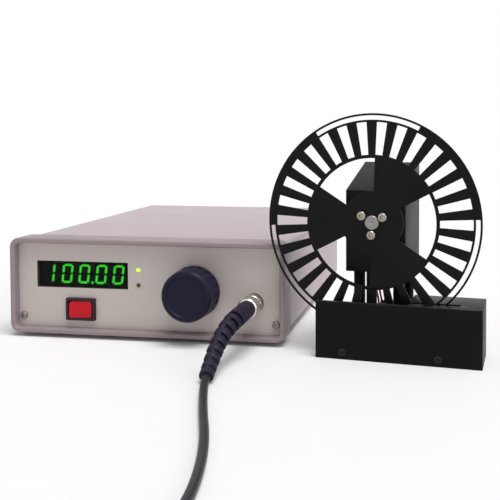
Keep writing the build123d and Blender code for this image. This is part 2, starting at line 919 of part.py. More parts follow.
# Inside: main board on spacers with its parts, and the mains transformer
tray_z = sleeve_floor + sleeve_wall
main_board_z = tray_z + main_spacer_height
main_middle = ((main_left + main_right) / 2, (main_front + main_rear) / 2)
main_screw_places = [
    (x, y)
    for x in (main_left + main_corner, main_right - main_corner)
    for y in (main_front + main_corner, main_rear - main_corner)
]
with BuildPart() as main_board:
    with BuildSketch(level(unit, main_board_z)):
        with Locations(main_middle):
            Rectangle(main_right - main_left, main_rear - main_front)
        with Locations(*main_screw_places):
            Circle(screw_radius, mode=Mode.SUBTRACT)
    extrude(amount=board_thickness)
pieces["main_board"] = main_board

with BuildPart() as board_spacers:
    with BuildSketch(level(unit, tray_z)):
        with Locations(*main_screw_places):
            Circle(main_spacer_radius)
    extrude(amount=main_spacer_height)
pieces["board_spacers"] = board_spacers

main_board_top = level(unit, main_board_z + board_thickness)
pieces["board_screws"] = plain_screws(main_board_top, main_screw_places, flat_head_height, board_thickness)

with BuildPart() as board_components:
    with BuildSketch(main_board_top):
        with Locations(*capacitor_places):
            Circle(capacitor_radius)
    extrude(amount=capacitor_height)
    with BuildSketch(main_board_top):
        with Locations(*chip_places):
            Rectangle(chip_size, chip_size)
        with Locations(driver_place):
            Rectangle(22.0, 9.0)
        with Locations(header_place):
            Rectangle(40.0, 6.0)
    extrude(amount=chip_height)
pieces["board_components"] = board_components

core_middle_z = tray_z + core_height / 2
with BuildPart() as transformer_core:
    with BuildSketch(level(unit, tray_z)):
        with Locations((transformer_x, transformer_y)):
            Rectangle(core_width, core_depth)
    extrude(amount=core_height)
    with BuildSketch(front(unit, transformer_y - core_depth / 2)):
        with Locations((transformer_x, core_middle_z)):
            with GridLocations(core_window_pitch, 0, 2, 1):
                Rectangle(core_window_width, core_window_height)
    extrude(amount=-core_depth, mode=Mode.SUBTRACT)
pieces["transformer_core"] = transformer_core

coil_outside = core_window_pitch + core_window_width - 2 * coil_clearance
with BuildPart() as transformer_coil:
    with BuildSketch(level(unit, core_middle_z - core_window_height / 2 + coil_clearance)):
        with Locations((transformer_x, transformer_y)):
            RectangleRounded(coil_outside, winding_depth, 3.0)
            Rectangle(
                core_window_pitch - core_window_width + 2 * coil_clearance,
                core_depth + 2 * coil_clearance,
                mode=Mode.SUBTRACT,
            )
    extrude(amount=core_window_height - 2 * coil_clearance)
pieces["transformer_coil"] = transformer_coil

# Chopper head: base plate with its rear tongue, tapped for a post
post_places = [(x, y) for x in (-post_x, post_x) for y in (post_front, post_rear)]
cover_screw_places = [(cover_screw_left, cover_screw_z), (cover_screw_right, cover_screw_z)]
cover_back = base_front + cover_thickness
with BuildPart() as base_plate:
    with BuildSketch(level(head, 0)):
        with Locations(((base_left + base_right) / 2, (cover_back + base_rear) / 2)):
            Rectangle(base_right - base_left, base_rear - cover_back)
        with Locations((0, (base_rear + tongue_rear) / 2)):
            Rectangle(2 * tongue_half_width, tongue_rear - base_rear)
        with Locations((post_hole_x, post_hole_y)):
            Circle(post_hole_radius, mode=Mode.SUBTRACT)
    extrude(amount=base_plate_thickness)
    with BuildSketch(front(head, cover_back)):
        with Locations(*cover_screw_places):
            Circle(screw_radius)
    extrude(amount=-cover_screw_length, mode=Mode.SUBTRACT)
pieces["base_plate"] = base_plate

with BuildPart() as base_cover:
    with BuildSketch(front(head, base_front)):
        with Locations(((base_left + base_right) / 2, base_height / 2)):
            Rectangle(base_right - base_left, base_height)
        with Locations(*cover_screw_places):
            Circle(screw_radius, mode=Mode.SUBTRACT)
    extrude(amount=-cover_thickness)
    long_edges = base_cover.edges().filter_by(head_across)
    chamfer(long_edges.group_by(Axis.Z)[-1], 0.5)
    with BuildSketch(front(head, base_front)):
        with Locations(*cover_screw_places):
            Circle(cover_screw_head + seat_gap)
    extrude(amount=-cover_sink, mode=Mode.SUBTRACT)
pieces["base_cover"] = base_cover

with BuildPart() as cover_screws:
    with BuildSketch(front(head, base_front + cover_sink)):
        with Locations(*cover_screw_places):
            Circle(cover_screw_head)
    extrude(amount=cover_screw_head_height)
    with BuildSketch(front(head, base_front + cover_sink - cover_screw_head_height)):
        with Locations(*cover_screw_places):
            RegularPolygon(1.3, 6)
    extrude(amount=-cover_socket_depth, mode=Mode.SUBTRACT)
    with BuildSketch(front(head, base_front + cover_sink)):
        with Locations(*cover_screw_places):
            Circle(screw_radius)
    extrude(amount=-cover_screw_length)
pieces["cover_screws"] = cover_screws

# Guard over the sensors: a box open in front and below, slit for the wheel
guard_middle = (guard_left + base_right) / 2
with BuildPart() as sensor_guard:
    with BuildSketch(level(head, base_plate_thickness)):
        with Locations((guard_middle, (cover_back + base_rear) / 2)):
            Rectangle(base_right - guard_left, base_rear - cover_back)
    extrude(amount=base_height - base_plate_thickness)
    with BuildSketch(level(head, base_plate_thickness)):
        with Locations((guard_middle, (cover_back + base_rear - guard_wall) / 2)):
            Rectangle(base_right - guard_left - 2 * guard_wall, base_rear - cover_back - guard_wall)
    extrude(amount=base_height - base_plate_thickness - guard_wall, mode=Mode.SUBTRACT)
    with BuildSketch(level(head, base_plate_thickness)):
        with Locations(((guard_left + guard_slit_end) / 2, 0)):
            Rectangle(guard_slit_end - guard_left, guard_slit)
    extrude(amount=base_height, mode=Mode.SUBTRACT)
    with BuildSketch(level(head, base_plate_thickness)):
        with Locations((guard_left + guard_wall / 2, (cover_back + sensor_board_rear + 1.0) / 2)):
            Rectangle(guard_wall, sensor_board_rear + 1.0 - cover_back)
    extrude(amount=6.0, mode=Mode.SUBTRACT)
    with BuildSketch(moved(rear(head, base_rear), -head_socket_x, head_socket_z)):
        Circle(socket_neck)
    extrude(amount=-guard_wall, mode=Mode.SUBTRACT)
pieces["sensor_guard"] = sensor_guard
pieces["head_socket"] = round_socket(moved(rear(head, base_rear), -head_socket_x, head_socket_z))

# Sensor board on two washers, with the two slotted light gates astride the wheel
board_bottom = base_plate_thickness + sensor_board_gap
board_top = board_bottom + board_thickness
sensor_screw_places = [
    (sensor_board_left + board_corner, sensor_board_rear - board_corner),
    (sensor_board_right - board_corner, sensor_board_front + board_corner),
]
with BuildPart() as sensor_board:
    with BuildSketch(level(head, board_bottom)):
        with Locations(
            ((sensor_board_left + sensor_board_right) / 2, (sensor_board_front + sensor_board_rear) / 2)
        ):
            Rectangle(sensor_board_right - sensor_board_left, sensor_board_rear - sensor_board_front)
        with Locations(*sensor_screw_places):
            Circle(screw_radius, mode=Mode.SUBTRACT)
    extrude(amount=board_thickness)
pieces["sensor_board"] = sensor_board

with BuildPart() as sensor_board_screws:
    with BuildSketch(level(head, board_top)):
        with Locations(*sensor_screw_places):
            Circle(screw_head_radius)
    extrude(amount=flat_head_height)
    with BuildSketch(level(head, base_plate_thickness)):
        with Locations(*sensor_screw_places):
            Circle(screw_head_radius)
    extrude(amount=sensor_board_gap)
    with BuildSketch(level(head, board_bottom)):
        with Locations(*sensor_screw_places):
            Circle(screw_radius)
    extrude(amount=board_thickness)
pieces["sensor_board_screws"] = sensor_board_screws


def light_gate(x, track_radius):
    """Slotted light gate whose beam crosses the wheel at the given radius."""
    beam = axis_height - math.sqrt(track_radius**2 - x**2)
    top = beam + sensor_over_beam
    half = sensor_gap / 2 + sensor_arm
    with BuildPart() as gate:
        with BuildSketch(side(head, x - sensor_width / 2)):
            with BuildLine():
                Polyline(
                    (-half, board_top), (half, board_top), (half, top), (sensor_gap / 2, top),
                    (sensor_gap / 2, board_top + sensor_bridge),
                    (-sensor_gap / 2, board_top + sensor_bridge),
                    (-sensor_gap / 2, top), (-half, top), close=True,
                )
            make_face()
        extrude(amount=sensor_width)
        chamfer(gate.edges().filter_by(head_across).group_by(Axis.Z)[-1], 0.6)
    return gate


pieces["slot_sensor"] = light_gate(inner_sensor_x, (slot_inner + slot_outer) / 2)
pieces["window_sensor"] = light_gate(outer_sensor_x, (outer_window_inner + outer_window_outer) / 2)

# Posts, motor housing with its sloping roof, and the housing's floor
with BuildPart() as housing_posts:
    with BuildSketch(level(head, base_plate_thickness)):
        with Locations(*post_places):
            Circle(post_radius)
    extrude(amount=tower_bottom - base_plate_thickness)
pieces["housing_posts"] = housing_posts

wall_plane = side(head, -tower_half_width)
with BuildPart() as motor_housing:
    with BuildSketch(wall_plane):
        with BuildLine():
            Polyline(
                (tower_front, tower_bottom), (tower_rear, tower_bottom), (tower_rear, roof_rear),
                (tower_front, roof_front), close=True,
            )
        make_face()
    extrude(amount=2 * tower_half_width)
    chamfer(motor_housing.edges().group_by(Axis.Z)[-1], tower_edge)
    with BuildSketch(wall_plane.offset(tower_wall)):
        with BuildLine():
            Polyline(
                (tower_front + tower_wall, tower_bottom), (tower_rear - tower_wall, tower_bottom),
                (tower_rear - tower_wall, roof_rear - 1.6 * tower_wall),
                (tower_front + tower_wall, roof_front - 0.7 * tower_wall), close=True,
            )
        make_face()
    extrude(amount=2 * (tower_half_width - tower_wall), mode=Mode.SUBTRACT)
    with BuildSketch(front(head, tower_front)):
        with Locations((0, axis_height)):
            Circle(motor_nose_radius + seat_gap)
        with Locations((0, axis_height)):
            with GridLocations(2 * motor_screw_circle, 0, 2, 1):
                Circle(screw_radius)
    extrude(amount=-tower_wall, mode=Mode.SUBTRACT)
pieces["motor_housing"] = motor_housing

with BuildPart() as housing_floor:
    with BuildSketch(level(head, tower_bottom)):
        with Locations((0, (tower_front + tower_rear) / 2)):
            Rectangle(2 * (tower_half_width - tower_wall), tower_rear - tower_front - 2 * tower_wall)
        with Locations(*post_places):
            Circle(screw_radius, mode=Mode.SUBTRACT)
        with Locations((0, tower_front + tower_wall + 3.0)):
            Circle(lead_hole_radius, mode=Mode.SUBTRACT)
    extrude(amount=tower_floor_thickness)
pieces["housing_floor"] = housing_floor

floor_top = level(head, tower_bottom + tower_floor_thickness)
pieces["post_screws"] = plain_screws(floor_top, post_places, post_head_height, tower_floor_thickness)

# Motor behind the housing's front wall
motor_face = tower_front + tower_wall
motor_back = motor_face + motor_length
motor_screw_places = [(-motor_screw_circle, axis_height), (motor_screw_circle, axis_height)]
motor_axis = Axis(tuple(head.from_local_coords((0, 0, axis_height))), tuple(head.y_dir))
with BuildPart() as motor:
    with BuildSketch(Plane(
        origin=head.from_local_coords((0, 0, axis_height)), x_dir=head.y_dir, z_dir=head.x_dir
    )):
        with BuildLine():
            Polyline(
                (tower_front, shaft_radius + running_gap), (tower_front, motor_nose_radius),
                (motor_face, motor_nose_radius), (motor_face, motor_radius),
                (motor_back, motor_radius), (motor_back, motor_cap_radius),
                (motor_back + motor_cap, motor_cap_radius), (motor_back + motor_cap, 0),
                (motor_back, 0), (motor_back, shaft_radius + running_gap), close=True,
            )
        make_face()
    revolve(axis=motor_axis)
    with BuildSketch(front(head, motor_face)):
        with Locations(*motor_screw_places):
            Circle(screw_radius)
    extrude(amount=-motor_screw_depth, mode=Mode.SUBTRACT)
pieces["motor"] = motor

pieces["motor_screws"] = plain_screws(
    front(head, tower_front),
    motor_screw_places,
    motor_head_height,
    tower_wall + motor_screw_depth - screw_end_gap,
)

# Hub: boss through the wheel, flange behind it and barrel on the shaft
half_wheel = wheel_thickness / 2
boss_front_y = -half_wheel - boss_reach
hub_back = tower_front - motor_head_height - hub_clearance
with BuildPart() as wheel_hub:
    with BuildSketch(Plane(
        origin=head.from_local_coords((0, 0, axis_height)), x_dir=head.y_dir, z_dir=head.x_dir
    )):
        with BuildLine():
            Polyline(
                (boss_front_y + 0.8, 0), (boss_front_y, 0.9), (boss_front_y, boss_radius - 0.3),
                (boss_front_y + 0.3, boss_radius), (half_wheel, boss_radius), (half_wheel, hub_radius),
                (half_wheel + hub_flange, hub_radius), (half_wheel + hub_flange, hub_barrel_radius),
                (hub_back, hub_barrel_radius), (hub_back, shaft_radius), (half_wheel + 0.5, shaft_radius),
                (half_wheel + 0.5, 0), close=True,
            )
        make_face()
    revolve(axis=motor_axis)
    with BuildSketch(front(head, half_wheel)):
        with Locations((0, axis_height)):
            with PolarLocations(hub_screw_circle, 3, hub_screw_phase):
                Circle(screw_radius)
    extrude(amount=-hub_flange, mode=Mode.SUBTRACT)
pieces["wheel_hub"] = wheel_hub

with BuildPart() as motor_shaft:
    with BuildSketch(moved(front(head, half_wheel + 0.5), 0, axis_height)):
        Circle(shaft_radius)
    extrude(amount=-(motor_back - shaft_end_gap - half_wheel))
pieces["motor_shaft"] = motor_shaft

# Chopper wheel: thirty radial slots, three windows inside them and three arcs outside them
with BuildPart() as chopper_wheel:
    with BuildSketch(moved(front(head, -half_wheel), 0, axis_height)):
        Circle(wheel_radius)
        Circle(boss_radius, mode=Mode.SUBTRACT)
        with PolarLocations(hub_screw_circle, 3, hub_screw_phase):
            Circle(screw_radius, mode=Mode.SUBTRACT)
        with BuildSketch(mode=Mode.PRIVATE) as slot:
            with BuildLine():
                ring_sector(slot_inner, slot_outer, slot_phase - slot_sweep / 2, slot_sweep)
            make_face()
        with PolarLocations(0, slot_count):
            add(slot.sketch_local, mode=Mode.SUBTRACT)
        with BuildSketch(mode=Mode.PRIVATE) as inner_window:
            with BuildLine():
                ring_sector(inner_window_inner, inner_window_outer, inner_window_start, window_sweep)
            make_face()
        with BuildSketch(mode=Mode.PRIVATE) as outer_window:
            with BuildLine():
                ring_sector(outer_window_inner, outer_window_outer, outer_window_start, window_sweep)
            make_face()
        with PolarLocations(0, window_count):
            add(inner_window.sketch_local, mode=Mode.SUBTRACT)
            add(outer_window.sketch_local, mode=Mode.SUBTRACT)
    extrude(amount=-wheel_thickness)
pieces["chopper_wheel"] = chopper_wheel

# Socket-head screws that clamp the wheel to the hub
with BuildPart() as hub_screws:
    with BuildSketch(moved(front(head, -half_wheel), 0, axis_height)):
        with PolarLocations(hub_screw_circle, 3, hub_screw_phase):
            Circle(cap_head_radius)
    extrude(amount=cap_head_height)
    chamfer(hub_screws.edges().group_by(Axis(tuple(head.origin), tuple(head.y_dir)))[0], 0.4)
    with BuildSketch(moved(front(head, -half_wheel - cap_head_height), 0, axis_height)):
        with PolarLocations(hub_screw_circle, 3, hub_screw_phase):
            RegularPolygon(hex_socket_radius, 6)
    extrude(amount=-hex_socket_depth, mode=Mode.SUBTRACT)
    with BuildSketch(moved(front(head, -half_wheel), 0, axis_height)):
        with PolarLocations(hub_screw_circle, 3, hub_screw_phase):
            Circle(screw_radius)
    extrude(amount=-(wheel_thickness + hub_flange))
pieces["hub_screws"] = hub_screws


def swept_tube(points, radii, outer, inner=0.0):
    """Round tube along straight runs joined by tangent arcs."""
    with BuildPart() as tube:
        with BuildLine() as route:
            FilletPolyline(*points, radius=radii)
        path = route.wires()[0]
        with BuildSketch(Plane(origin=path @ 0, z_dir=path % 0)):
            Circle(outer)
            if inner:
                Circle(inner, mode=Mode.SUBTRACT)
        sweep(path=path)
    return tube, path


def bend_radii(points):
    """Largest arc that each corner's two runs allow."""
    radii = []
    for before, corner, after in zip(points, points[1:], points[2:]):
        come = Vector(*corner) - Vector(*before)
        go = Vector(*after) - Vector(*corner)
        turned = math.radians(come.get_angle(go))
        radii.append(0.45 * min(come.length, go.length) / math.tan(turned / 2))
    return radii


# Two motor leads from the housing's floor down to the sensor board
lead_y = tower_front + tower_wall + 3.0
with BuildPart() as motor_leads:
    for offset in (-lead_offset, lead_offset):
        local_points = [
            (offset, lead_y, tower_bottom + 1.0), (offset, lead_y, 45.0),
            (offset + 3.0, lead_y - 1.6, 34.0),
            (offset - 1.0, lead_y - 3.0, 22.0), (offset + 1.0, lead_y - 3.2, board_top + seat_gap),
        ]
        lead_points = [tuple(head.from_local_coords(point)) for point in local_points]
        lead_part, lead_line = swept_tube(lead_points, [lead_bend] * 3, lead_radius)
        add(lead_part.part)
pieces["motor_leads"] = motor_leads

# Lead: bayonet plug, strain-relief boot, cable, stored coil, tie and far plug
with BuildPart() as plug_nut:
    with BuildSketch(Plane(
        origin=unit.from_local_coords((jack_x, 0, jack_z)), x_dir=unit.y_dir, z_dir=unit.x_dir
    )):
        with BuildLine():
            Polyline(
                (plug_start, jack_radius + lug_height + 0.3), (plug_start, plug_radius - 0.5),
                (plug_start - 0.5, plug_radius), (plug_start - 4.5, plug_radius),
                (plug_start - 5.0, plug_radius - 0.5), (plug_start - 5.8, plug_radius - 0.5),
                (plug_start - 6.3, plug_radius), (plug_start - plug_length + 1.0, plug_radius),
                (plug_start - plug_length, plug_radius - 1.0),
                (plug_start - plug_length, plug_body_radius + seat_gap),
                (plug_start - plug_length + 3.0, plug_body_radius + seat_gap),
                (plug_start - plug_length + 3.0, jack_radius + lug_height + 0.3), close=True,
            )
        make_face()
    revolve(axis=Axis(tuple(unit.from_local_coords((jack_x, 0, jack_z))), (0, 1, 0)))
pieces["plug_nut"] = plug_nut

plug_front_y = panel_recess - jack_reach - 0.3
with BuildPart() as plug_body:
    with BuildSketch(moved(front(unit, plug_front_y), jack_x, jack_z)):
        Circle(plug_body_radius)
    extrude(amount=plug_front_y - plug_body_end)
    with BuildSketch(moved(front(unit, plug_front_y - 0.2), jack_x, jack_z)):
        Circle(plug_body_radius + 0.7)
    extrude(amount=2.6)
pieces["plug_body"] = plug_body

route = [
    (jack_x, plug_body_end, jack_z),
    (jack_x, -26.5, jack_z),
    (181.0, -39.0, 26.3),
    (177.9, -49.5, 19.5),
    (177.3, -60.0, 12.3),
    (177.4, -70.0, 6.2),
    (179.3, -81.5, 3.4),
    (184.6, -98.0, cable_rest),
    (194.5, -125.0, cable_rest),
    (204.5, -150.0, cable_rest),
    (212.5, -176.0, cable_rest),
    (218.0, -202.0, cable_rest),
    (219.8, -225.0, cable_rest),
    (coil_x - coil_outer_turn, coil_y + coil_entry, cable_rest),
]
route_points = [tuple(unit.from_local_coords(point)) for point in route]
radii = bend_radii(route_points)
print("cord radii", [round(radius, 1) for radius in radii])
cable_part, cable_line = swept_tube(route_points, radii, cable_radius)
pieces["cable"] = cable_part
print("cord length", round(cable_line.length, 1))
cable_area = math.pi * cable_radius**2
print("cord volume", round(cable_part.part.volume, 1), round(cable_area * cable_line.length, 1))

# Boot: a sleeve on the cable's first stretch, ringed with ribs that grow smaller
def route_start(runs):
    """The route's first runs, ended half-way along the next one."""
    end = (Vector(*route_points[runs]) + Vector(*route_points[runs + 1])) / 2
    return route_points[: runs + 1] + [tuple(end)]


boot_bore = cable_radius + seat_gap
with BuildPart() as boot:
    boot_core, boot_line = swept_tube(route_start(boot_runs), radii[:boot_runs], boot_core_radius, boot_bore)
    add(boot_core.part)
    add(swept_tube(route_start(1), radii[:1], boot_rib_radius - 0.1, boot_bore)[0].part)
    for number in range(boot_ribs):
        share = number / (boot_ribs - 1)
        place = boot_plain_share + (0.97 - boot_plain_share) * share
        radius = boot_rib_radius + share * (boot_rib_end_radius - boot_rib_radius)
        rib_plane = Plane(origin=boot_line @ place, z_dir=boot_line % place)
        with BuildSketch(rib_plane.offset(-boot_rib_width / 2)):
            Circle(radius)
            Circle(cable_radius + 0.6, mode=Mode.SUBTRACT)
        extrude(amount=boot_rib_width)
    with BuildSketch(Plane(origin=boot_line @ 0, z_dir=boot_line % 0)):
        Circle(boot_rib_radius + 0.2)
        Circle(boot_bore, mode=Mode.SUBTRACT)
    extrude(amount=boot_collar)
pieces["boot"] = boot

coil_plane = moved(level(unit, 0), coil_x, coil_y)
with BuildPart() as cable_coil:
    with BuildSketch(coil_plane.offset(coil_lift)):
        Circle(coil_middle_radius + coil_width / 2)
        Circle(coil_middle_radius - coil_width / 2, mode=Mode.SUBTRACT)
    extrude(amount=coil_height)
pieces["cable_coil"] = cable_coil

with BuildPart() as coil_tie:
    with BuildSketch(front(coil_plane, -tie_width / 2)):
        with Locations((coil_middle_radius, coil_lift + coil_height / 2 + tie_gap / 2)):
            RectangleRounded(coil_width + 2 * tie_gap + 2 * tie_wall, coil_height + 2 * tie_wall, 2.0)
            Rectangle(coil_width + 2 * tie_gap, coil_height + tie_gap, mode=Mode.SUBTRACT)
        with Locations((coil_middle_radius, coil_lift - coil_height / 2)):
            Rectangle(2 * coil_width, coil_height, mode=Mode.SUBTRACT)
    extrude(amount=-tie_width)
pieces["coil_tie"] = coil_tie

far_plug_z = coil_lift + coil_height + plug_radius + far_plug_gap
far_plug_axis = Plane(
    origin=coil_plane.from_local_coords((far_plug_x, far_plug_y, far_plug_z)),
    x_dir=coil_plane.z_dir,
    z_dir=-coil_plane.x_dir,
)
with BuildPart() as far_plug:
    with BuildSketch(far_plug_axis):
        Circle(plug_radius)
        Circle(jack_radius + lug_height + 0.3, mode=Mode.SUBTRACT)
    extrude(amount=plug_length - 3.0)
    with BuildSketch(far_plug_axis.offset(plug_length - 3.0)):
        Circle(plug_radius)
    extrude(amount=3.0)
    with BuildSketch(far_plug_axis.offset(1.0)):
        Circle(plug_body_radius - 0.8)
        Circle(1.6, mode=Mode.SUBTRACT)
    extrude(amount=plug_length - 2.0)
    with BuildSketch(far_plug_axis.offset(plug_length)):
        Circle(boot_rib_radius)
    extrude(amount=far_boot_length, taper=far_boot_taper)
pieces["far_plug"] = far_plug

for name, builder in pieces.items():
    builder.part.label = name
    export_step(builder.part, f"parts/{name}.step")
print(len(pieces), "nodes")
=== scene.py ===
import json
import math

import bmesh
import bpy
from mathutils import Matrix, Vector


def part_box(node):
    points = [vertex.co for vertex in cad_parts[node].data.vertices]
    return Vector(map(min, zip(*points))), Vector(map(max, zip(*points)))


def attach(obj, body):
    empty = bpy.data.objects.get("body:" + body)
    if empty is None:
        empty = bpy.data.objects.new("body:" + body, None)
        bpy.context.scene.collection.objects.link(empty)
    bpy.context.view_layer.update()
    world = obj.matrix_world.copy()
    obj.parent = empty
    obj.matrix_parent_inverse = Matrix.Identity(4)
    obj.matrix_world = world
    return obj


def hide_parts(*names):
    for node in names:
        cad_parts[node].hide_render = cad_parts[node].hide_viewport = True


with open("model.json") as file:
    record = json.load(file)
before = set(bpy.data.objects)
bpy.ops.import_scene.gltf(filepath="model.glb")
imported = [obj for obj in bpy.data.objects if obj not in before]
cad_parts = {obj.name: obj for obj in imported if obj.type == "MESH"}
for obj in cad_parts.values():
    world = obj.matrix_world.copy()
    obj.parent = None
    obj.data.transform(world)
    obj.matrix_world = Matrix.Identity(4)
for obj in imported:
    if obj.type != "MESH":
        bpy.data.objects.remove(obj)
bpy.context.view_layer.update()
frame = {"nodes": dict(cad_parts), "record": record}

bl_info = {
    "name": "Optical Chopper Set",
    "version": (1, 0, 0),
    "blender": (4, 5, 0),
    "location": "View3D > Sidebar > Chopper",
    "description": "Finishes, details and studio for a bench optical chopper and its control unit",
    "category": "Object",
}

BODIES = frame["record"]["behaviour"]["bodies"]
BODY_OF = {node: body for body, nodes in BODIES.items() for node in nodes}

# The control unit's left front corner on the ground, from which the lead and the camera are measured,
# and the middle of the stored coil
UNIT = Vector((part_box("front_bezel")[0][0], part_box("front_bezel")[0][1], 0.0))
COIL = (Vector(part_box("cable_coil")[0]) + Vector(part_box("cable_coil")[1])) / 2


# Sizes and colours that a user would change

def shown(red, green, blue):
    """Scene-linear colour for a colour as seen on screen, 0 to 255."""
    values = []
    for part in (red, green, blue):
        part = part / 255
        values.append(part / 12.92 if part <= 0.04045 else ((part + 0.055) / 1.055) ** 2.4)
    return tuple(values)


def colour(label, text, value):
    return bpy.props.FloatVectorProperty(
        name=label, description=text, subtype="COLOR", size=3, min=0.0, max=1.0, default=value
    )


def length(label, text, value):
    return bpy.props.FloatProperty(
        name=label, description=text, subtype="DISTANCE", unit="LENGTH", min=0.0, default=value
    )


def amount(label, text, value, highest):
    return bpy.props.FloatProperty(name=label, description=text, min=0.0, max=highest, default=value)


def number(label, text, value, lowest, highest):
    return bpy.props.IntProperty(name=label, description=text, min=lowest, max=highest, default=value)


class CaseLook(bpy.types.PropertyGroup):
    bezel: colour("Bezel", "Moulded frame round the front panel", shown(150, 135, 139))
    cover: colour("Case", "Powder coat of the folded case", shown(190, 176, 178))
    panel: colour("Panel", "Satin paint of the front and rear panels", shown(200, 190, 185))
    bezel_edge: length("Bezel edge", "Rounding of the bezel's edges", 0.0007)
    cover_edge: length("Case edge", "Rounding of the folded case's edges", 0.0003)


class PanelLook(bpy.types.PropertyGroup):
    segments: colour("Segments", "Light of the display's digits", (0.03, 0.80, 0.02))
    segment_light: amount("Segment light", "Strength of the display's digits", 2.7, 20.0)
    lit_lamp: colour("Lit lamp", "Light of the upper lamp", (0.50, 0.85, 0.03))
    lamp_light: amount("Lamp light", "Strength of the upper lamp", 1.1, 20.0)
    key: colour("Rocker key", "Moulded key of the front switch", shown(204, 12, 36))
    knob: colour("Knob", "Moulding of the fluted knob", shown(27, 24, 44))


class HeadLook(bpy.types.PropertyGroup):
    black: colour("Black finish", "Black anodising of the base, guard and posts", shown(9, 9, 10))
    housing: colour("Housing", "Anodising of the motor housing", shown(14, 13, 15))
    wheel: colour("Wheel", "Blackened sheet of the wheel", shown(12, 11, 13))
    edge: length("Edges", "Rounding of the machined edges", 0.0005)


class LeadLook(bpy.types.PropertyGroup):
    jacket: colour("Jacket", "Outer jacket of the coaxial lead", shown(30, 28, 34))
    radius: length("Jacket radius", "Half the lead's thickness", 0.0025)
    turns: number("Turns", "Turns of the stored coil", 4, 2, 12)
    boot_length: length("Boot length", "Length of the boot along the lead", 0.0695)
    ribs: number("Boot ribs", "Ribs round the boot", 8, 2, 20)
    rib_start: length("First rib", "Radius of the boot's first rib", 0.0062)
    rib_end: length("Last rib", "Radius of the boot's last rib", 0.0045)
    core: length("Boot core", "Radius of the boot between its ribs", 0.0038)
    knurls: number("Knurls", "Ridges round a plug's nut", 28, 8, 60)


class StudioLook(bpy.types.PropertyGroup):
    floor: colour("Floor", "Floor of the studio", (0.97, 0.97, 0.97))
    key_light: amount("Key light", "Strength of the wide light above", 2.1, 20.0)
    fill_light: amount("Fill light", "Strength of the wide light at the right", 0.6, 20.0)
    sky_light: amount("Sky light", "Strength of the even light from all round", 0.32, 4.0)


# Shader groups shared by the finishes

# Colour at the bottom of a tool mark
MARK_COLOUR = (0.05, 0.05, 0.05, 1)


def shader_group(label, inputs, outputs):
    """An empty shader group with named sockets; returns it and its end nodes."""
    group = bpy.data.node_groups.new(label, "ShaderNodeTree")
    for name, kind, value in inputs:
        socket = group.interface.new_socket(name, in_out="INPUT", socket_type=kind)
        socket.default_value = value
    for name, kind in outputs:
        group.interface.new_socket(name, in_out="OUTPUT", socket_type=kind)
    return group, group.nodes.new("NodeGroupInput"), group.nodes.new("NodeGroupOutput")


def mapped_noise(group, coordinates, scale, detail):
    """Noise on the given coordinates; scale is a number or a socket."""
    noise = group.nodes.new("ShaderNodeTexNoise")
    noise.inputs["Detail"].default_value = detail
    group.links.new(coordinates, noise.inputs["Vector"])
    if isinstance(scale, float):
        noise.inputs["Scale"].default_value = scale
    else:
        group.links.new(scale, noise.inputs["Scale"])
    return noise.outputs["Fac"]


def ranged(group, value, low, high):
    """The middle of a noise stretched to run from low to high, which are numbers or sockets."""
    node = group.nodes.new("ShaderNodeMapRange")
    node.inputs["From Min"].default_value = 0.3
    node.inputs["From Max"].default_value = 0.7
    group.links.new(value, node.inputs["Value"])
    for name, end in (("To Min", low), ("To Max", high)):
        if isinstance(end, float):
            node.inputs[name].default_value = end
        else:
            group.links.new(end, node.inputs[name])
    return node.outputs["Result"]


def mixed(group, factor, first, second):
    """Colour between two others, each a colour or a socket."""
    node = group.nodes.new("ShaderNodeMix")
    node.data_type = "RGBA"
    sockets = {socket.identifier: socket for socket in node.inputs}
    for name, value in (("Factor_Float", factor), ("A_Color", first), ("B_Color", second)):
        if isinstance(value, (float, tuple)):
            sockets[name].default_value = value
        else:
            group.links.new(value, sockets[name])
    return next(socket for socket in node.outputs if socket.identifier == "Result_Color")


def grain_group():
    """Mottled colour, uneven gloss and a fine relief, for mouldings and coats."""
    group, into, out = shader_group(
        "Coat grain",
        [
            ("Colour", "NodeSocketColor", (0.5, 0.5, 0.5, 1)),
            ("Fleck", "NodeSocketColor", (0.3, 0.3, 0.3, 1)),
            ("Fleck Amount", "NodeSocketFloat", 0.2),
            ("Scale", "NodeSocketFloat", 900.0),
            ("Smooth", "NodeSocketFloat", 0.35),
            ("Rough", "NodeSocketFloat", 0.55),
        ],
        [("Colour", "NodeSocketColor"), ("Roughness", "NodeSocketFloat"), ("Height", "NodeSocketFloat")],
    )
    place = group.nodes.new("ShaderNodeTexCoord").outputs["Object"]
    fine = mapped_noise(group, place, into.outputs["Scale"], 2.0)
    broad = mapped_noise(group, place, 22.0, 4.0)
    flecks = ranged(group, fine, 0.0, into.outputs["Fleck Amount"])
    colour_out = mixed(group, flecks, into.outputs["Colour"], into.outputs["Fleck"])
    roughness = ranged(group, broad, into.outputs["Smooth"], into.outputs["Rough"])
    group.links.new(colour_out, out.inputs["Colour"])
    group.links.new(roughness, out.inputs["Roughness"])
    group.links.new(fine, out.inputs["Height"])
    return group


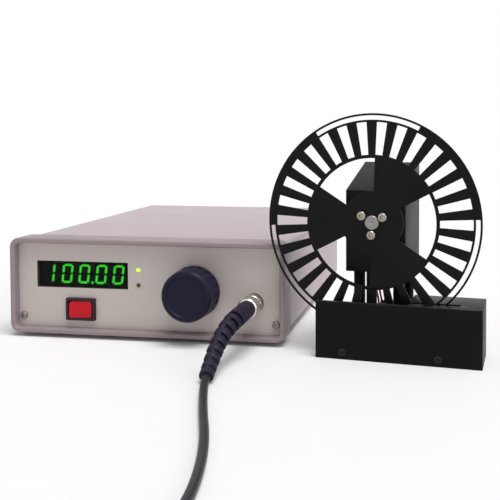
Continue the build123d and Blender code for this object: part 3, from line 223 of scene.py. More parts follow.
def dust_group():
    """Pale dust that settles where a face looks up."""
    group, into, out = shader_group(
        "Settled dust",
        [
            ("Colour", "NodeSocketColor", (0.5, 0.5, 0.5, 1)),
            ("Dust", "NodeSocketColor", (0.6, 0.58, 0.55, 1)),
            ("Amount", "NodeSocketFloat", 0.1),
        ],
        [("Colour", "NodeSocketColor")],
    )
    coordinates = group.nodes.new("ShaderNodeTexCoord")
    parts = group.nodes.new("ShaderNodeSeparateXYZ")
    group.links.new(coordinates.outputs["Normal"], parts.inputs["Vector"])
    cloud = mapped_noise(group, coordinates.outputs["Object"], 60.0, 6.0)
    patches = ranged(group, cloud, 0.0, into.outputs["Amount"])
    upward = group.nodes.new("ShaderNodeMath")
    upward.operation = "MULTIPLY"
    upward.use_clamp = True
    group.links.new(parts.outputs["Z"], upward.inputs[0])
    group.links.new(patches, upward.inputs[1])
    dusted = mixed(group, upward.outputs["Value"], into.outputs["Colour"], into.outputs["Dust"])
    group.links.new(dusted, out.inputs["Colour"])
    return group


def streak_group():
    """Fine tool marks drawn out along one direction, for turned and brushed metal."""
    group, into, out = shader_group(
        "Tool marks",
        [
            ("Colour", "NodeSocketColor", (0.6, 0.6, 0.6, 1)),
            ("Stretch", "NodeSocketVector", (1, 1, 1)),
            ("Scale", "NodeSocketFloat", 400.0),
            ("Depth", "NodeSocketFloat", 0.12),
            ("Smooth", "NodeSocketFloat", 0.18),
            ("Rough", "NodeSocketFloat", 0.34),
        ],
        [("Colour", "NodeSocketColor"), ("Roughness", "NodeSocketFloat"), ("Height", "NodeSocketFloat")],
    )
    place = group.nodes.new("ShaderNodeTexCoord").outputs["Object"]
    stretched = group.nodes.new("ShaderNodeVectorMath")
    stretched.operation = "MULTIPLY"
    group.links.new(place, stretched.inputs[0])
    group.links.new(into.outputs["Stretch"], stretched.inputs[1])
    marks = mapped_noise(group, stretched.outputs["Vector"], into.outputs["Scale"], 3.0)
    depth = ranged(group, marks, 0.0, into.outputs["Depth"])
    darkened = mixed(group, depth, into.outputs["Colour"], MARK_COLOUR)
    roughness = ranged(group, marks, into.outputs["Smooth"], into.outputs["Rough"])
    group.links.new(darkened, out.inputs["Colour"])
    group.links.new(roughness, out.inputs["Roughness"])
    group.links.new(marks, out.inputs["Height"])
    return group


# Finishes; coats and metals are kept by name, so that each is built once

FINISHES = {}
GROUPS = {}

# Depths of the reliefs that the bump nodes show, metres
COAT_DEPTH = 0.0002
FINE_DEPTH = 0.0001

# Strengths of the fine reliefs: tool marks, moulded lenses and the display's window
MARK_RELIEF = 0.1
LENS_RELIEF = 0.05
WINDOW_RELIEF = 0.04


def shared(name):
    """The shader group of that name, built once."""
    builders = {"grain": grain_group, "dust": dust_group, "marks": streak_group}
    if name not in GROUPS:
        GROUPS[name] = builders[name]()
    return GROUPS[name]


def started(name, metallic, relief, relief_depth):
    """A new material with its shader and a bump node; returns them and the node tree."""
    material = bpy.data.materials.new(name)
    material.use_nodes = True
    tree = material.node_tree
    shader = tree.nodes["Principled BSDF"]
    shader.inputs["Metallic"].default_value = metallic
    bump = tree.nodes.new("ShaderNodeBump")
    bump.inputs["Strength"].default_value = relief
    bump.inputs["Distance"].default_value = relief_depth
    tree.links.new(bump.outputs["Normal"], shader.inputs["Normal"])
    return material, tree, shader, bump


def coated(name, base, fleck, fleck_amount, scale, gloss=(0.35, 0.5), relief=0.12, dust=0.0, shine=0.5):
    """Moulding, paint or anodising: grained colour with uneven gloss, and dust on top."""
    if name in FINISHES:
        return FINISHES[name]
    material, tree, shader, bump = started(name, 0.0, relief, COAT_DEPTH)
    shader.inputs["Specular IOR Level"].default_value = shine
    grain = tree.nodes.new("ShaderNodeGroup")
    grain.node_tree = shared("grain")
    grain.inputs["Colour"].default_value = (*base, 1)
    grain.inputs["Fleck"].default_value = (*fleck, 1)
    grain.inputs["Fleck Amount"].default_value = fleck_amount
    grain.inputs["Scale"].default_value = scale
    grain.inputs["Smooth"].default_value = gloss[0]
    grain.inputs["Rough"].default_value = gloss[1]
    tree.links.new(grain.outputs["Roughness"], shader.inputs["Roughness"])
    tree.links.new(grain.outputs["Height"], bump.inputs["Height"])
    last = grain.outputs["Colour"]
    if dust:
        settled = tree.nodes.new("ShaderNodeGroup")
        settled.node_tree = shared("dust")
        settled.inputs["Amount"].default_value = dust
        tree.links.new(last, settled.inputs["Colour"])
        last = settled.outputs["Colour"]
    tree.links.new(last, shader.inputs["Base Color"])
    FINISHES[name] = material
    return material


def machined(name, base, scale, stretch=(1.0, 1.0, 1.0), gloss=(0.16, 0.32), depth=0.15):
    """Bare or plated metal with tool marks."""
    if name in FINISHES:
        return FINISHES[name]
    material, tree, shader, bump = started(name, 1.0, MARK_RELIEF, FINE_DEPTH)
    marks = tree.nodes.new("ShaderNodeGroup")
    marks.node_tree = shared("marks")
    marks.inputs["Colour"].default_value = (*base, 1)
    marks.inputs["Stretch"].default_value = stretch
    marks.inputs["Scale"].default_value = scale
    marks.inputs["Depth"].default_value = depth
    marks.inputs["Smooth"].default_value = gloss[0]
    marks.inputs["Rough"].default_value = gloss[1]
    tree.links.new(marks.outputs["Colour"], shader.inputs["Base Color"])
    tree.links.new(marks.outputs["Roughness"], shader.inputs["Roughness"])
    tree.links.new(marks.outputs["Height"], bump.inputs["Height"])
    FINISHES[name] = material
    return material


def glowing(name, tint, strength, spread):
    """Moulded light: a tinted lens that glows, a little unevenly."""
    material, tree, shader, bump = started(name, 0.0, LENS_RELIEF, FINE_DEPTH)
    place = tree.nodes.new("ShaderNodeTexCoord").outputs["Object"]
    cloud = tree.nodes.new("ShaderNodeTexNoise")
    cloud.inputs["Scale"].default_value = 700.0
    tree.links.new(place, cloud.inputs["Vector"])
    ramp = tree.nodes.new("ShaderNodeValToRGB")
    ramp.color_ramp.elements[0].position = 0.3
    ramp.color_ramp.elements[0].color = (*[part * (1 - spread) for part in tint], 1)
    ramp.color_ramp.elements[1].position = 0.7
    ramp.color_ramp.elements[1].color = (*tint, 1)
    tree.links.new(cloud.outputs["Fac"], ramp.inputs["Fac"])
    tree.links.new(ramp.outputs["Color"], shader.inputs["Base Color"])
    tree.links.new(ramp.outputs["Color"], shader.inputs["Emission Color"])
    tree.links.new(cloud.outputs["Fac"], bump.inputs["Height"])
    shader.inputs["Roughness"].default_value = 0.3
    shader.inputs["Emission Strength"].default_value = strength
    return material


def display_filter():
    """Smoked window: nearly black, clear enough for lit segments, with faint wiping marks."""
    material, tree, shader, bump = started("smoked window", 0.0, WINDOW_RELIEF, FINE_DEPTH)
    place = tree.nodes.new("ShaderNodeTexCoord").outputs["Object"]
    wipes = tree.nodes.new("ShaderNodeTexNoise")
    wipes.inputs["Scale"].default_value = 45.0
    wipes.inputs["Detail"].default_value = 6.0
    tree.links.new(place, wipes.inputs["Vector"])
    gloss = tree.nodes.new("ShaderNodeMapRange")
    gloss.inputs["To Min"].default_value = 0.12
    gloss.inputs["To Max"].default_value = 0.26
    tree.links.new(wipes.outputs["Fac"], gloss.inputs["Value"])
    tint = tree.nodes.new("ShaderNodeValToRGB")
    tint.color_ramp.elements[0].color = (0.004, 0.006, 0.005, 1)
    tint.color_ramp.elements[1].color = (0.012, 0.014, 0.013, 1)
    tree.links.new(wipes.outputs["Fac"], tint.inputs["Fac"])
    tree.links.new(tint.outputs["Color"], shader.inputs["Base Color"])
    tree.links.new(gloss.outputs["Result"], shader.inputs["Roughness"])
    tree.links.new(wipes.outputs["Fac"], bump.inputs["Height"])
    shader.inputs["Specular IOR Level"].default_value = 0.05
    shader.inputs["Alpha"].default_value = 0.45
    return material


# Making and placing pieces

# Distance within which loose corners merge, metres
MERGED = 1e-6

# Angle up to which faces join as flat, and those past which an edge is sharp, degrees
FLAT_ANGLE = 0.4
SHARP_ANGLE = 30.0
BEVELLED_SHARP_ANGLE = 38.0
GROWN_SHARP_ANGLE = 40.0


def dress(material, *nodes):
    """The CAD nodes keep their shape and get the finish."""
    for name in nodes:
        piece = frame["nodes"][name]
        if not piece.material_slots:
            piece.data.materials.append(material)
        for slot in piece.material_slots:
            slot.material = material


def linked(name, mesh, material, node):
    """A piece object at the origin that rides with the CAD node's body and takes its slot."""
    piece = bpy.data.objects.new(name, mesh)
    bpy.context.scene.collection.objects.link(piece)
    mesh.materials.clear()
    mesh.materials.append(material)
    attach(piece, BODY_OF[node])
    return piece


def rounded(node, material, width, segments=3):
    """A copy of the CAD node, merged, with its sharp edges rounded, that stands for the node."""
    mesh = bpy.data.meshes.new(node + "_rounded")
    shape = bmesh.new()
    shape.from_mesh(frame["nodes"][node].data)
    bmesh.ops.remove_doubles(shape, verts=shape.verts, dist=MERGED)
    bmesh.ops.dissolve_limit(
        shape, angle_limit=math.radians(FLAT_ANGLE), verts=shape.verts, edges=shape.edges,
        use_dissolve_boundaries=False,
    )
    shape.to_mesh(mesh)
    shape.free()
    mesh.shade_smooth()
    mesh.set_sharp_from_angle(angle=math.radians(SHARP_ANGLE))
    draft = bpy.data.objects.new(node + "_draft", mesh)
    bpy.context.scene.collection.objects.link(draft)
    bevel = draft.modifiers.new("Edges", "BEVEL")
    bevel.width = width
    bevel.segments = segments
    bevel.limit_method = "ANGLE"
    bevel.angle_limit = math.radians(SHARP_ANGLE)
    bevel.use_clamp_overlap = True
    finished = plain_mesh(draft)
    finished.shade_smooth()
    finished.set_sharp_from_angle(angle=math.radians(BEVELLED_SHARP_ANGLE))
    piece = linked(node + "_finish", finished, material, node)
    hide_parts(node)
    return piece


def plain_mesh(draft):
    """The evaluated shape of a draft object as a plain mesh; the draft goes."""
    bpy.context.view_layer.update()
    evaluated = draft.evaluated_get(bpy.context.evaluated_depsgraph_get())
    mesh = bpy.data.meshes.new_from_object(evaluated)
    bpy.data.objects.remove(draft, do_unlink=True)
    return mesh


def geometry_tree(label, sizes):
    """A Geometry Nodes tree with named size inputs; returns the tree and its end nodes."""
    tree = bpy.data.node_groups.new(label, "GeometryNodeTree")
    tree.interface.new_socket("Geometry", in_out="INPUT", socket_type="NodeSocketGeometry")
    for name, kind, value in sizes:
        tree.interface.new_socket(name, in_out="INPUT", socket_type=kind).default_value = value
    tree.interface.new_socket("Material", in_out="INPUT", socket_type="NodeSocketMaterial")
    tree.interface.new_socket("Geometry", in_out="OUTPUT", socket_type="NodeSocketGeometry")
    return tree, tree.nodes.new("NodeGroupInput"), tree.nodes.new("NodeGroupOutput")


def ended(tree, geometry, into, out):
    """Closes a tree with Realize Instances and Set Material."""
    realised = tree.nodes.new("GeometryNodeRealizeInstances")
    painted = tree.nodes.new("GeometryNodeSetMaterial")
    tree.links.new(geometry, realised.inputs["Geometry"])
    tree.links.new(realised.outputs["Geometry"], painted.inputs["Geometry"])
    tree.links.new(into.outputs["Material"], painted.inputs["Material"])
    tree.links.new(painted.outputs["Geometry"], out.inputs["Geometry"])


def grown(name, seed_mesh, tree, values, material, node):
    """Runs a Geometry Nodes tree on a seed mesh and returns the plain piece."""
    draft = bpy.data.objects.new(name + "_draft", seed_mesh)
    bpy.context.scene.collection.objects.link(draft)
    modifier = draft.modifiers.new("Shape", "NODES")
    modifier.node_group = tree
    sockets = {
        item.name: item.identifier for item in tree.interface.items_tree if item.in_out == "INPUT"
    }
    for label, value in values.items():
        modifier[sockets[label]] = value
    modifier[sockets["Material"]] = material
    mesh = plain_mesh(draft)
    mesh.shade_smooth()
    mesh.set_sharp_from_angle(angle=math.radians(GROWN_SHARP_ANGLE))
    return linked(name, mesh, material, node)


def math_node(tree, operation, first, second):
    """Result of a sum on two values, each a number or a socket."""
    node = tree.nodes.new("ShaderNodeMath")
    node.operation = operation
    for socket, value in zip(node.inputs, (first, second)):
        if isinstance(value, (int, float)):
            socket.default_value = value
        else:
            tree.links.new(value, socket)
    return node.outputs["Value"]


def swept(tree, line, radius, sides):
    """Capped round bar of that radius along a line."""
    section = tree.nodes.new("GeometryNodeCurvePrimitiveCircle")
    section.inputs["Resolution"].default_value = sides
    tree.links.new(radius, section.inputs["Radius"])
    bar = tree.nodes.new("GeometryNodeCurveToMesh")
    bar.inputs["Fill Caps"].default_value = True
    tree.links.new(line, bar.inputs["Curve"])
    tree.links.new(section.outputs["Curve"], bar.inputs["Profile Curve"])
    return bar.outputs["Mesh"]


def stretch_of(tree, line, name, share):
    """The line before or after a share of its length; name is the trimmed end."""
    node = tree.nodes.new("GeometryNodeTrimCurve")
    tree.links.new(line, node.inputs["Curve"])
    if isinstance(share, float):
        node.inputs[name].default_value = share
    else:
        tree.links.new(share, node.inputs[name])
    return node.outputs["Curve"]


# Shares of the boot's line: gap between the collar and the first rib, and where the last rib ends
RIB_GAP = 0.045
RIBS_END = 0.97

# Rounding of a rib's edges, and the bars above and below that join the ribs: sunk depth and radius, metres
RIB_ROUNDING = 0.0006
BAR_SUNK = 0.0019
BAR_RADIUS = 0.0017

# Sides of the boot's round parts, of its ribs and of its bars
BOOT_SIDES = 36
RIB_SIDES = 40
BAR_SIDES = 16


def ribbed_sleeve_tree():
    """Plain collar, thin core, ribs that shrink towards the end, and two bars that join the ribs."""
    tree, into, out = geometry_tree(
        "Ribbed boot",
        [
            ("Ribs", "NodeSocketInt", 8),
            ("Core Radius", "NodeSocketFloat", 0.004),
            ("First Rib", "NodeSocketFloat", 0.006),
            ("Last Rib", "NodeSocketFloat", 0.0046),
            ("Rib Length", "NodeSocketFloat", 0.0038),
            ("Plain Share", "NodeSocketFloat", 0.3),
        ],
    )
    links = tree.links
    line_node = tree.nodes.new("GeometryNodeMeshToCurve")
    links.new(into.outputs["Geometry"], line_node.inputs["Mesh"])
    line = line_node.outputs["Curve"]
    plain = into.outputs["Plain Share"]
    core = swept(tree, line, into.outputs["Core Radius"], BOOT_SIDES)
    collar = swept(tree, stretch_of(tree, line, "End", plain), into.outputs["First Rib"], BOOT_SIDES)
    ribbed = stretch_of(tree, line, "Start", math_node(tree, "ADD", plain, RIB_GAP))
    shortened = stretch_of(tree, ribbed, "End", RIBS_END)
    places = tree.nodes.new("GeometryNodeResampleCurve")
    links.new(shortened, places.inputs["Curve"])
    links.new(into.outputs["Ribs"], places.inputs["Count"])
    half = math_node(tree, "MULTIPLY", into.outputs["First Rib"], 0.5)
    ring = tree.nodes.new("GeometryNodeCurvePrimitiveCircle")
    ring.inputs["Resolution"].default_value = RIB_SIDES
    links.new(half, ring.inputs["Radius"])
    section = tree.nodes.new("GeometryNodeCurvePrimitiveQuadrilateral")
    links.new(into.outputs["First Rib"], section.inputs["Width"])
    links.new(into.outputs["Rib Length"], section.inputs["Height"])
    eased = tree.nodes.new("GeometryNodeFilletCurve")
    eased.mode = "POLY"
    eased.inputs["Radius"].default_value = RIB_ROUNDING
    eased.inputs["Count"].default_value = 3
    links.new(section.outputs["Curve"], eased.inputs["Curve"])
    rib = tree.nodes.new("GeometryNodeCurveToMesh")
    links.new(ring.outputs["Curve"], rib.inputs["Curve"])
    links.new(eased.outputs["Curve"], rib.inputs["Profile Curve"])
    along = tree.nodes.new("GeometryNodeInputTangent")
    turned = tree.nodes.new("FunctionNodeAlignRotationToVector")
    turned.axis = "Z"
    links.new(along.outputs["Tangent"], turned.inputs["Vector"])
    index = tree.nodes.new("GeometryNodeInputIndex").outputs["Index"]
    share = math_node(tree, "DIVIDE", index, math_node(tree, "SUBTRACT", into.outputs["Ribs"], 1))
    smallest = math_node(tree, "DIVIDE", into.outputs["Last Rib"], into.outputs["First Rib"])
    loss = math_node(tree, "MULTIPLY", share, math_node(tree, "SUBTRACT", 1.0, smallest))
    size = math_node(tree, "SUBTRACT", 1.0, loss)
    scale = tree.nodes.new("ShaderNodeCombineXYZ")
    scale.inputs["Z"].default_value = 1.0
    links.new(size, scale.inputs["X"])
    links.new(size, scale.inputs["Y"])
    ribs = tree.nodes.new("GeometryNodeInstanceOnPoints")
    links.new(places.outputs["Curve"], ribs.inputs["Points"])
    links.new(rib.outputs["Mesh"], ribs.inputs["Instance"])
    links.new(turned.outputs["Rotation"], ribs.inputs["Rotation"])
    links.new(scale.outputs["Vector"], ribs.inputs["Scale"])
    joined = tree.nodes.new("GeometryNodeJoinGeometry")
    for piece in (core, collar, ribs.outputs["Instances"]):
        links.new(piece, joined.inputs["Geometry"])
    for side in (-1.0, 1.0):
        links.new(boot_bar(tree, into, ribbed, side), joined.inputs["Geometry"])
    ended(tree, joined.outputs["Geometry"], into, out)
    return tree


def boot_bar(tree, into, ribbed, side):
    """Bar along the boot's top or underside, sunk between the ribs."""
    links = tree.links
    tangent = tree.nodes.new("GeometryNodeInputTangent").outputs["Tangent"]
    across = tree.nodes.new("ShaderNodeVectorMath")
    across.operation = "CROSS_PRODUCT"
    links.new(tangent, across.inputs[0])
    across.inputs[1].default_value = (0.0, 0.0, 1.0)
    upward = tree.nodes.new("ShaderNodeVectorMath")
    upward.operation = "CROSS_PRODUCT"
    links.new(across.outputs["Vector"], upward.inputs[0])
    links.new(tangent, upward.inputs[1])
    direction = tree.nodes.new("ShaderNodeVectorMath")
    direction.operation = "NORMALIZE"
    links.new(upward.outputs["Vector"], direction.inputs[0])
    share = tree.nodes.new("GeometryNodeSplineParameter").outputs["Factor"]
    narrowing = math_node(tree, "SUBTRACT", into.outputs["First Rib"], into.outputs["Last Rib"])
    loss = math_node(tree, "MULTIPLY", share, narrowing)
    reach = math_node(tree, "SUBTRACT", into.outputs["First Rib"], loss)
    sunk = math_node(tree, "MULTIPLY", math_node(tree, "SUBTRACT", reach, BAR_SUNK), side)
    offset = tree.nodes.new("ShaderNodeVectorMath")
    offset.operation = "SCALE"
    links.new(direction.outputs["Vector"], offset.inputs[0])
    links.new(sunk, offset.inputs["Scale"])
    moved = tree.nodes.new("GeometryNodeSetPosition")
    links.new(ribbed, moved.inputs["Geometry"])
    links.new(offset.outputs["Vector"], moved.inputs["Offset"])
    radius = tree.nodes.new("ShaderNodeValue")
    radius.outputs["Value"].default_value = BAR_RADIUS
    return swept(tree, moved.outputs["Geometry"], radius.outputs["Value"], BAR_SIDES)


def ridge_ring_tree():
    """Ridges of equal size at even angles round a plug's nut."""
    tree, into, out = geometry_tree(
        "Ring of ridges",
        [
            ("Count", "NodeSocketInt", 24),
            ("Radius", "NodeSocketFloat", 0.007),
            ("Ridge", "NodeSocketVector", (0.0006, 0.0006, 0.004)),
            ("Turn", "NodeSocketVector", (0, 0, 0)),
            ("Place", "NodeSocketVector", (0, 0, 0)),
        ],
    )
    links = tree.links
    ring = tree.nodes.new("GeometryNodeMeshCircle")
    links.new(into.outputs["Count"], ring.inputs["Vertices"])
    links.new(into.outputs["Radius"], ring.inputs["Radius"])
    ridge = tree.nodes.new("GeometryNodeMeshCube")
    links.new(into.outputs["Ridge"], ridge.inputs["Size"])
    place = tree.nodes.new("GeometryNodeInputPosition")
    turned = tree.nodes.new("FunctionNodeAlignRotationToVector")
    turned.axis = "X"
    turned.pivot_axis = "Z"
    links.new(place.outputs["Position"], turned.inputs["Vector"])
    ridges = tree.nodes.new("GeometryNodeInstanceOnPoints")
    links.new(ring.outputs["Mesh"], ridges.inputs["Points"])
    links.new(ridge.outputs["Mesh"], ridges.inputs["Instance"])
    links.new(turned.outputs["Rotation"], ridges.inputs["Rotation"])
    seated = tree.nodes.new("GeometryNodeTransform")
    links.new(ridges.outputs["Instances"], seated.inputs["Geometry"])
    links.new(into.outputs["Place"], seated.inputs["Translation"])
    links.new(into.outputs["Turn"], seated.inputs["Rotation"])
    ended(tree, seated.outputs["Geometry"], into, out)
    return tree


TREES = {}


def tree_of(name):
    """The Geometry Nodes tree of that name, built once."""
    builders = {"boot": ribbed_sleeve_tree, "ridges": ridge_ring_tree}
    if name not in TREES:
        TREES[name] = builders[name]()
    return TREES[name]


# Finishes that more than one group of pieces has

def black_moulding():
    return coated(
        "black moulding", shown(18, 18, 22), shown(40, 40, 46),
        fleck_amount=0.3, scale=1800.0, gloss=(0.32, 0.5), relief=0.1, shine=0.3,
    )


def steel():
    return machined("screw steel", shown(196, 196, 198), scale=900.0)


def plating():
    return machined(
        "nickel plating", shown(206, 203, 196),
        scale=500.0, stretch=(1.0, 6.0, 1.0), gloss=(0.12, 0.24), depth=0.1,
    )


# Operators, one for each group of like pieces and one for the studio

# Rounding of small edges, metres: switch frames, keys, mouldings, plates, turned parts and fine sheet
FRAME_EDGE = 0.00035
KEY_EDGE = 0.0004
MOULDED_EDGE = 0.0003
PLATE_EDGE = 0.0003
TURNED_EDGE = 0.0002
FINE_EDGE = 0.00015


class CHOPPER_OT_case(bpy.types.Operator):
    """Bezel, folded case, feet and panels of the control unit"""
    bl_idname = "chopper.case"
    bl_label = "Case"
    bl_options = {"REGISTER", "UNDO"}

    def execute(self, context):
        case = context.scene.chopper_case
        moulding = coated(
            "bezel moulding", tuple(case.bezel), shown(120, 108, 110),
            fleck_amount=0.3, scale=1500.0, gloss=(0.42, 0.58), relief=0.16, dust=0.06,
        )
        powder = coated(
            "powder coat", tuple(case.cover), shown(166, 152, 155),
            fleck_amount=0.35, scale=1900.0, gloss=(0.45, 0.62), relief=0.22, dust=0.05,
        )
        paint = coated(
            "panel paint", tuple(case.panel), shown(178, 167, 164),
            fleck_amount=0.25, scale=2400.0, gloss=(0.42, 0.52), relief=0.05,
        )
        rubber = coated(
            "foot rubber", shown(28, 28, 28), shown(44, 44, 44),
            fleck_amount=0.3, scale=1200.0, gloss=(0.6, 0.8), relief=0.2,
        )
        worn = machined("worn screw steel", shown(150, 146, 144), scale=900.0, gloss=(0.3, 0.45), depth=0.4)
        rounded("front_bezel", moulding, case.bezel_edge)
        rounded("case_top", powder, case.cover_edge)
        rounded("case_bottom", powder, case.cover_edge)
        dress(paint, "front_panel", "rear_panel")
        dress(rubber, "feet")
        dress(worn, "panel_screws", "rear_screws")
        return {"FINISHED"}


class CHOPPER_OT_display(bpy.types.Operator):
    """Display window, lit digits and the two lamps"""
    bl_idname = "chopper.display"
    bl_label = "Display and lamps"
    bl_options = {"REGISTER", "UNDO"}

    def execute(self, context):
        panel = context.scene.chopper_panel
        segments = glowing("lit segments", tuple(panel.segments), strength=panel.segment_light, spread=0.2)
        lit = glowing("lit lamp", tuple(panel.lit_lamp), strength=panel.lamp_light, spread=0.15)
        dark = glowing("dark lamp", shown(96, 40, 36), strength=0.0, spread=0.3)
        dress(display_filter(), "display_window")
        dress(segments, "display_digits")
        dress(lit, "led_lit")
        dress(dark, "led_dark")
        dress(black_moulding(), "display_module")
        return {"FINISHED"}


class CHOPPER_OT_controls(bpy.types.Operator):
    """Rocker switches and the fluted knob with its encoder"""
    bl_idname = "chopper.controls"
    bl_label = "Controls"
    bl_options = {"REGISTER", "UNDO"}

    def execute(self, context):
        panel = context.scene.chopper_panel
        red = coated(
            "rocker key", tuple(panel.key), shown(160, 10, 28),
            fleck_amount=0.25, scale=900.0, gloss=(0.2, 0.32), relief=0.05, shine=0.2,
        )
        grip = coated(
            "knob moulding", tuple(panel.knob), shown(44, 40, 64),
            fleck_amount=0.3, scale=1700.0, gloss=(0.34, 0.5), relief=0.12, shine=0.12,
        )
        white = coated(
            "white moulding", shown(226, 224, 216), shown(190, 188, 180), fleck_amount=0.3, scale=900.0
        )
        rounded("rocker_frame", black_moulding(), FRAME_EDGE)
        rounded("rocker_button", red, KEY_EDGE)
        rounded("power_switch_frame", black_moulding(), FRAME_EDGE)
        rounded("power_switch_button", black_moulding(), KEY_EDGE)
        rounded("knob", grip, MOULDED_EDGE)
        dress(black_moulding(), "encoder_body")
        dress(white, "encoder_plunger")
        dress(steel(), "encoder_shaft")
        return {"FINISHED"}


class CHOPPER_OT_connectors(bpy.types.Operator):
    """Coaxial jacks, round sockets and the mains inlet"""
    bl_idname = "chopper.connectors"
    bl_label = "Connectors"
    bl_options = {"REGISTER", "UNDO"}

    def execute(self, context):
        dress(plating(), "sync_jack", "reference_jack", "head_port", "head_socket")
        rounded("power_inlet", black_moulding(), MOULDED_EDGE)
        return {"FINISHED"}


class CHOPPER_OT_inside(bpy.types.Operator):
    """Boards, spacers and transformer inside the control unit"""
    bl_idname = "chopper.inside"
    bl_label = "Inside"
    bl_options = {"REGISTER", "UNDO"}

    def execute(self, context):
        laminate = coated(
            "board laminate", shown(38, 104, 62), shown(24, 72, 44),
            fleck_amount=0.5, scale=800.0, gloss=(0.25, 0.4), relief=0.1,
        )
        nylon = coated(
            "nylon spacers", shown(226, 224, 216), shown(196, 192, 184),
            fleck_amount=0.3, scale=900.0, gloss=(0.4, 0.55),
        )
        core = machined(
            "core laminations", shown(122, 118, 112),
            scale=60.0, stretch=(1.0, 40.0, 1.0), gloss=(0.4, 0.6), depth=0.5,
        )
        winding = machined(
            "winding copper", shown(190, 110, 66),
            scale=40.0, stretch=(1.0, 1.0, 60.0), gloss=(0.3, 0.45), depth=0.4,
        )
        dress(laminate, "display_board", "main_board", "sensor_board")
        dress(nylon, "display_spacers", "board_spacers")
        dress(steel(), "board_screws", "sensor_board_screws", "post_screws", "motor_screws")
        dress(black_moulding(), "board_components")
        dress(core, "transformer_core")
        dress(winding, "transformer_coil")
        return {"FINISHED"}


class CHOPPER_OT_head(bpy.types.Operator):
    """Base, guard, posts and motor housing of the chopper head"""
    bl_idname = "chopper.head"
    bl_label = "Chopper head"
    bl_options = {"REGISTER", "UNDO"}

    def execute(self, context):
        head = context.scene.chopper_head
        black = coated(
            "black anodising", tuple(head.black), shown(24, 23, 24),
            fleck_amount=0.35, scale=2600.0, gloss=(0.36, 0.48), relief=0.08, dust=0.03, shine=0.1,
        )
        shell = coated(
            "housing anodising", tuple(head.housing), shown(34, 32, 34),
            fleck_amount=0.35, scale=2600.0, gloss=(0.42, 0.54), relief=0.08, dust=0.01, shine=0.12,
        )
        burnished = coated(
            "burnished screws", shown(30, 28, 27), shown(62, 58, 54),
            fleck_amount=0.3, scale=900.0, gloss=(0.36, 0.5), relief=0.1, shine=0.2,
        )
        insulation = coated(
            "lead insulation", shown(150, 34, 30), shown(110, 20, 18), fleck_amount=0.3, scale=900.0
        )
        can = machined("motor can", shown(168, 168, 170), scale=60.0, stretch=(1.0, 30.0, 1.0))
        rounded("base_plate", black, PLATE_EDGE)
        rounded("base_cover", black, head.edge)
        rounded("sensor_guard", black, head.edge)
        rounded("motor_housing", shell, head.edge)
        dress(black, "housing_posts", "housing_floor")
        dress(burnished, "cover_screws")
        dress(can, "motor")
        dress(insulation, "motor_leads")
        return {"FINISHED"}


class CHOPPER_OT_wheel(bpy.types.Operator):
    """Slotted wheel, hub, shaft, screws and the light gates it runs through"""
    bl_idname = "chopper.wheel"
    bl_label = "Wheel"
    bl_options = {"REGISTER", "UNDO"}

    def execute(self, context):
        head = context.scene.chopper_head
        sheet = coated(
            "blackened sheet", tuple(head.wheel), shown(30, 28, 31),
            fleck_amount=0.3, scale=3000.0, gloss=(0.4, 0.52), relief=0.06, shine=0.12,
        )
        turned = machined("hub metal", shown(150, 148, 146), scale=700.0, gloss=(0.28, 0.42), depth=0.3)
        screws = machined("hub screw metal", shown(166, 160, 146), scale=900.0, gloss=(0.2, 0.34), depth=0.3)
        rounded("chopper_wheel", sheet, FINE_EDGE, 1)
        rounded("wheel_hub", turned, TURNED_EDGE, 2)
        rounded("hub_screws", screws, FINE_EDGE, 2)
        dress(steel(), "motor_shaft")
        dress(black_moulding(), "slot_sensor", "window_sensor")
        return {"FINISHED"}


# Route of the lead in the control unit's frame, millimetres, as the CAD's tube has it
LEAD_ROUTE = [
    (184.3, -13.2, 29.5), (184.3, -26.5, 29.5), (181.0, -39.0, 26.3), (177.9, -49.5, 19.5),
    (177.3, -60.0, 12.3), (177.4, -70.0, 6.2), (179.3, -81.5, 3.4), (184.6, -98.0, 2.6),
    (194.5, -125.0, 2.6), (204.5, -150.0, 2.6), (212.5, -176.0, 2.6), (218.0, -202.0, 2.6),
    (219.8, -225.0, 2.6), (220.0, -240.0, 2.6),
]

# The stored coil about its middle, millimetres; the climb between its layers is a share of a turn
COIL_OUTER = 30.0
COIL_PITCH = 5.0
LOWER_LAYER = 2.6
UPPER_LAYER = 7.7
CLIMB = 0.4
TURN_POINTS = 16

# The far plug's axis about the coil's middle, the end of its nut, and the lead's way up to it, millimetres
FAR_PLUG_SIDE = -23.0
FAR_PLUG_HEIGHT = 17.55
FAR_NUT_END = 16.0
FAR_ROUTE = [
    (-29.6, -6.0, 8.6), (-26.5, -14.5, 11.8), (-20.0, -20.8, 15.3), (-14.5, -22.9, 17.3),
    (-9.0, FAR_PLUG_SIDE, FAR_PLUG_HEIGHT),
]

# Boots at the two plugs, metres, with the smooth collar as a share of the length; the CAD's cone is cut
# off the far nut where it lies further back than the margin
RIB_LENGTH = 0.0038
PLAIN_SHARE = 0.285
FAR_BOOT_LENGTH = 0.0255
FAR_BOOT_STEPS = 26
FAR_RIBS = 4
FAR_LAST_RIB = 0.0048
FAR_RIB_LENGTH = 0.0026
FAR_PLAIN_SHARE = 0.34
CONE_MARGIN = 0.0003

# Knurl of the plug's nut, metres: its middle from the bezel's front, its length, and one ridge, partly sunk
KNURL_MIDDLE = -0.0065
KNURL_LENGTH = 0.0042
KNURL_DEPTH = 0.0006
KNURL_WIDTH = 0.0009
KNURL_SUNK = 0.00015


def line_mesh(name, points):
    """A mesh of edges only, from point to point."""
    mesh = bpy.data.meshes.new(name)
    mesh.from_pydata(points, [(i, i + 1) for i in range(len(points) - 1)], [])
    return mesh


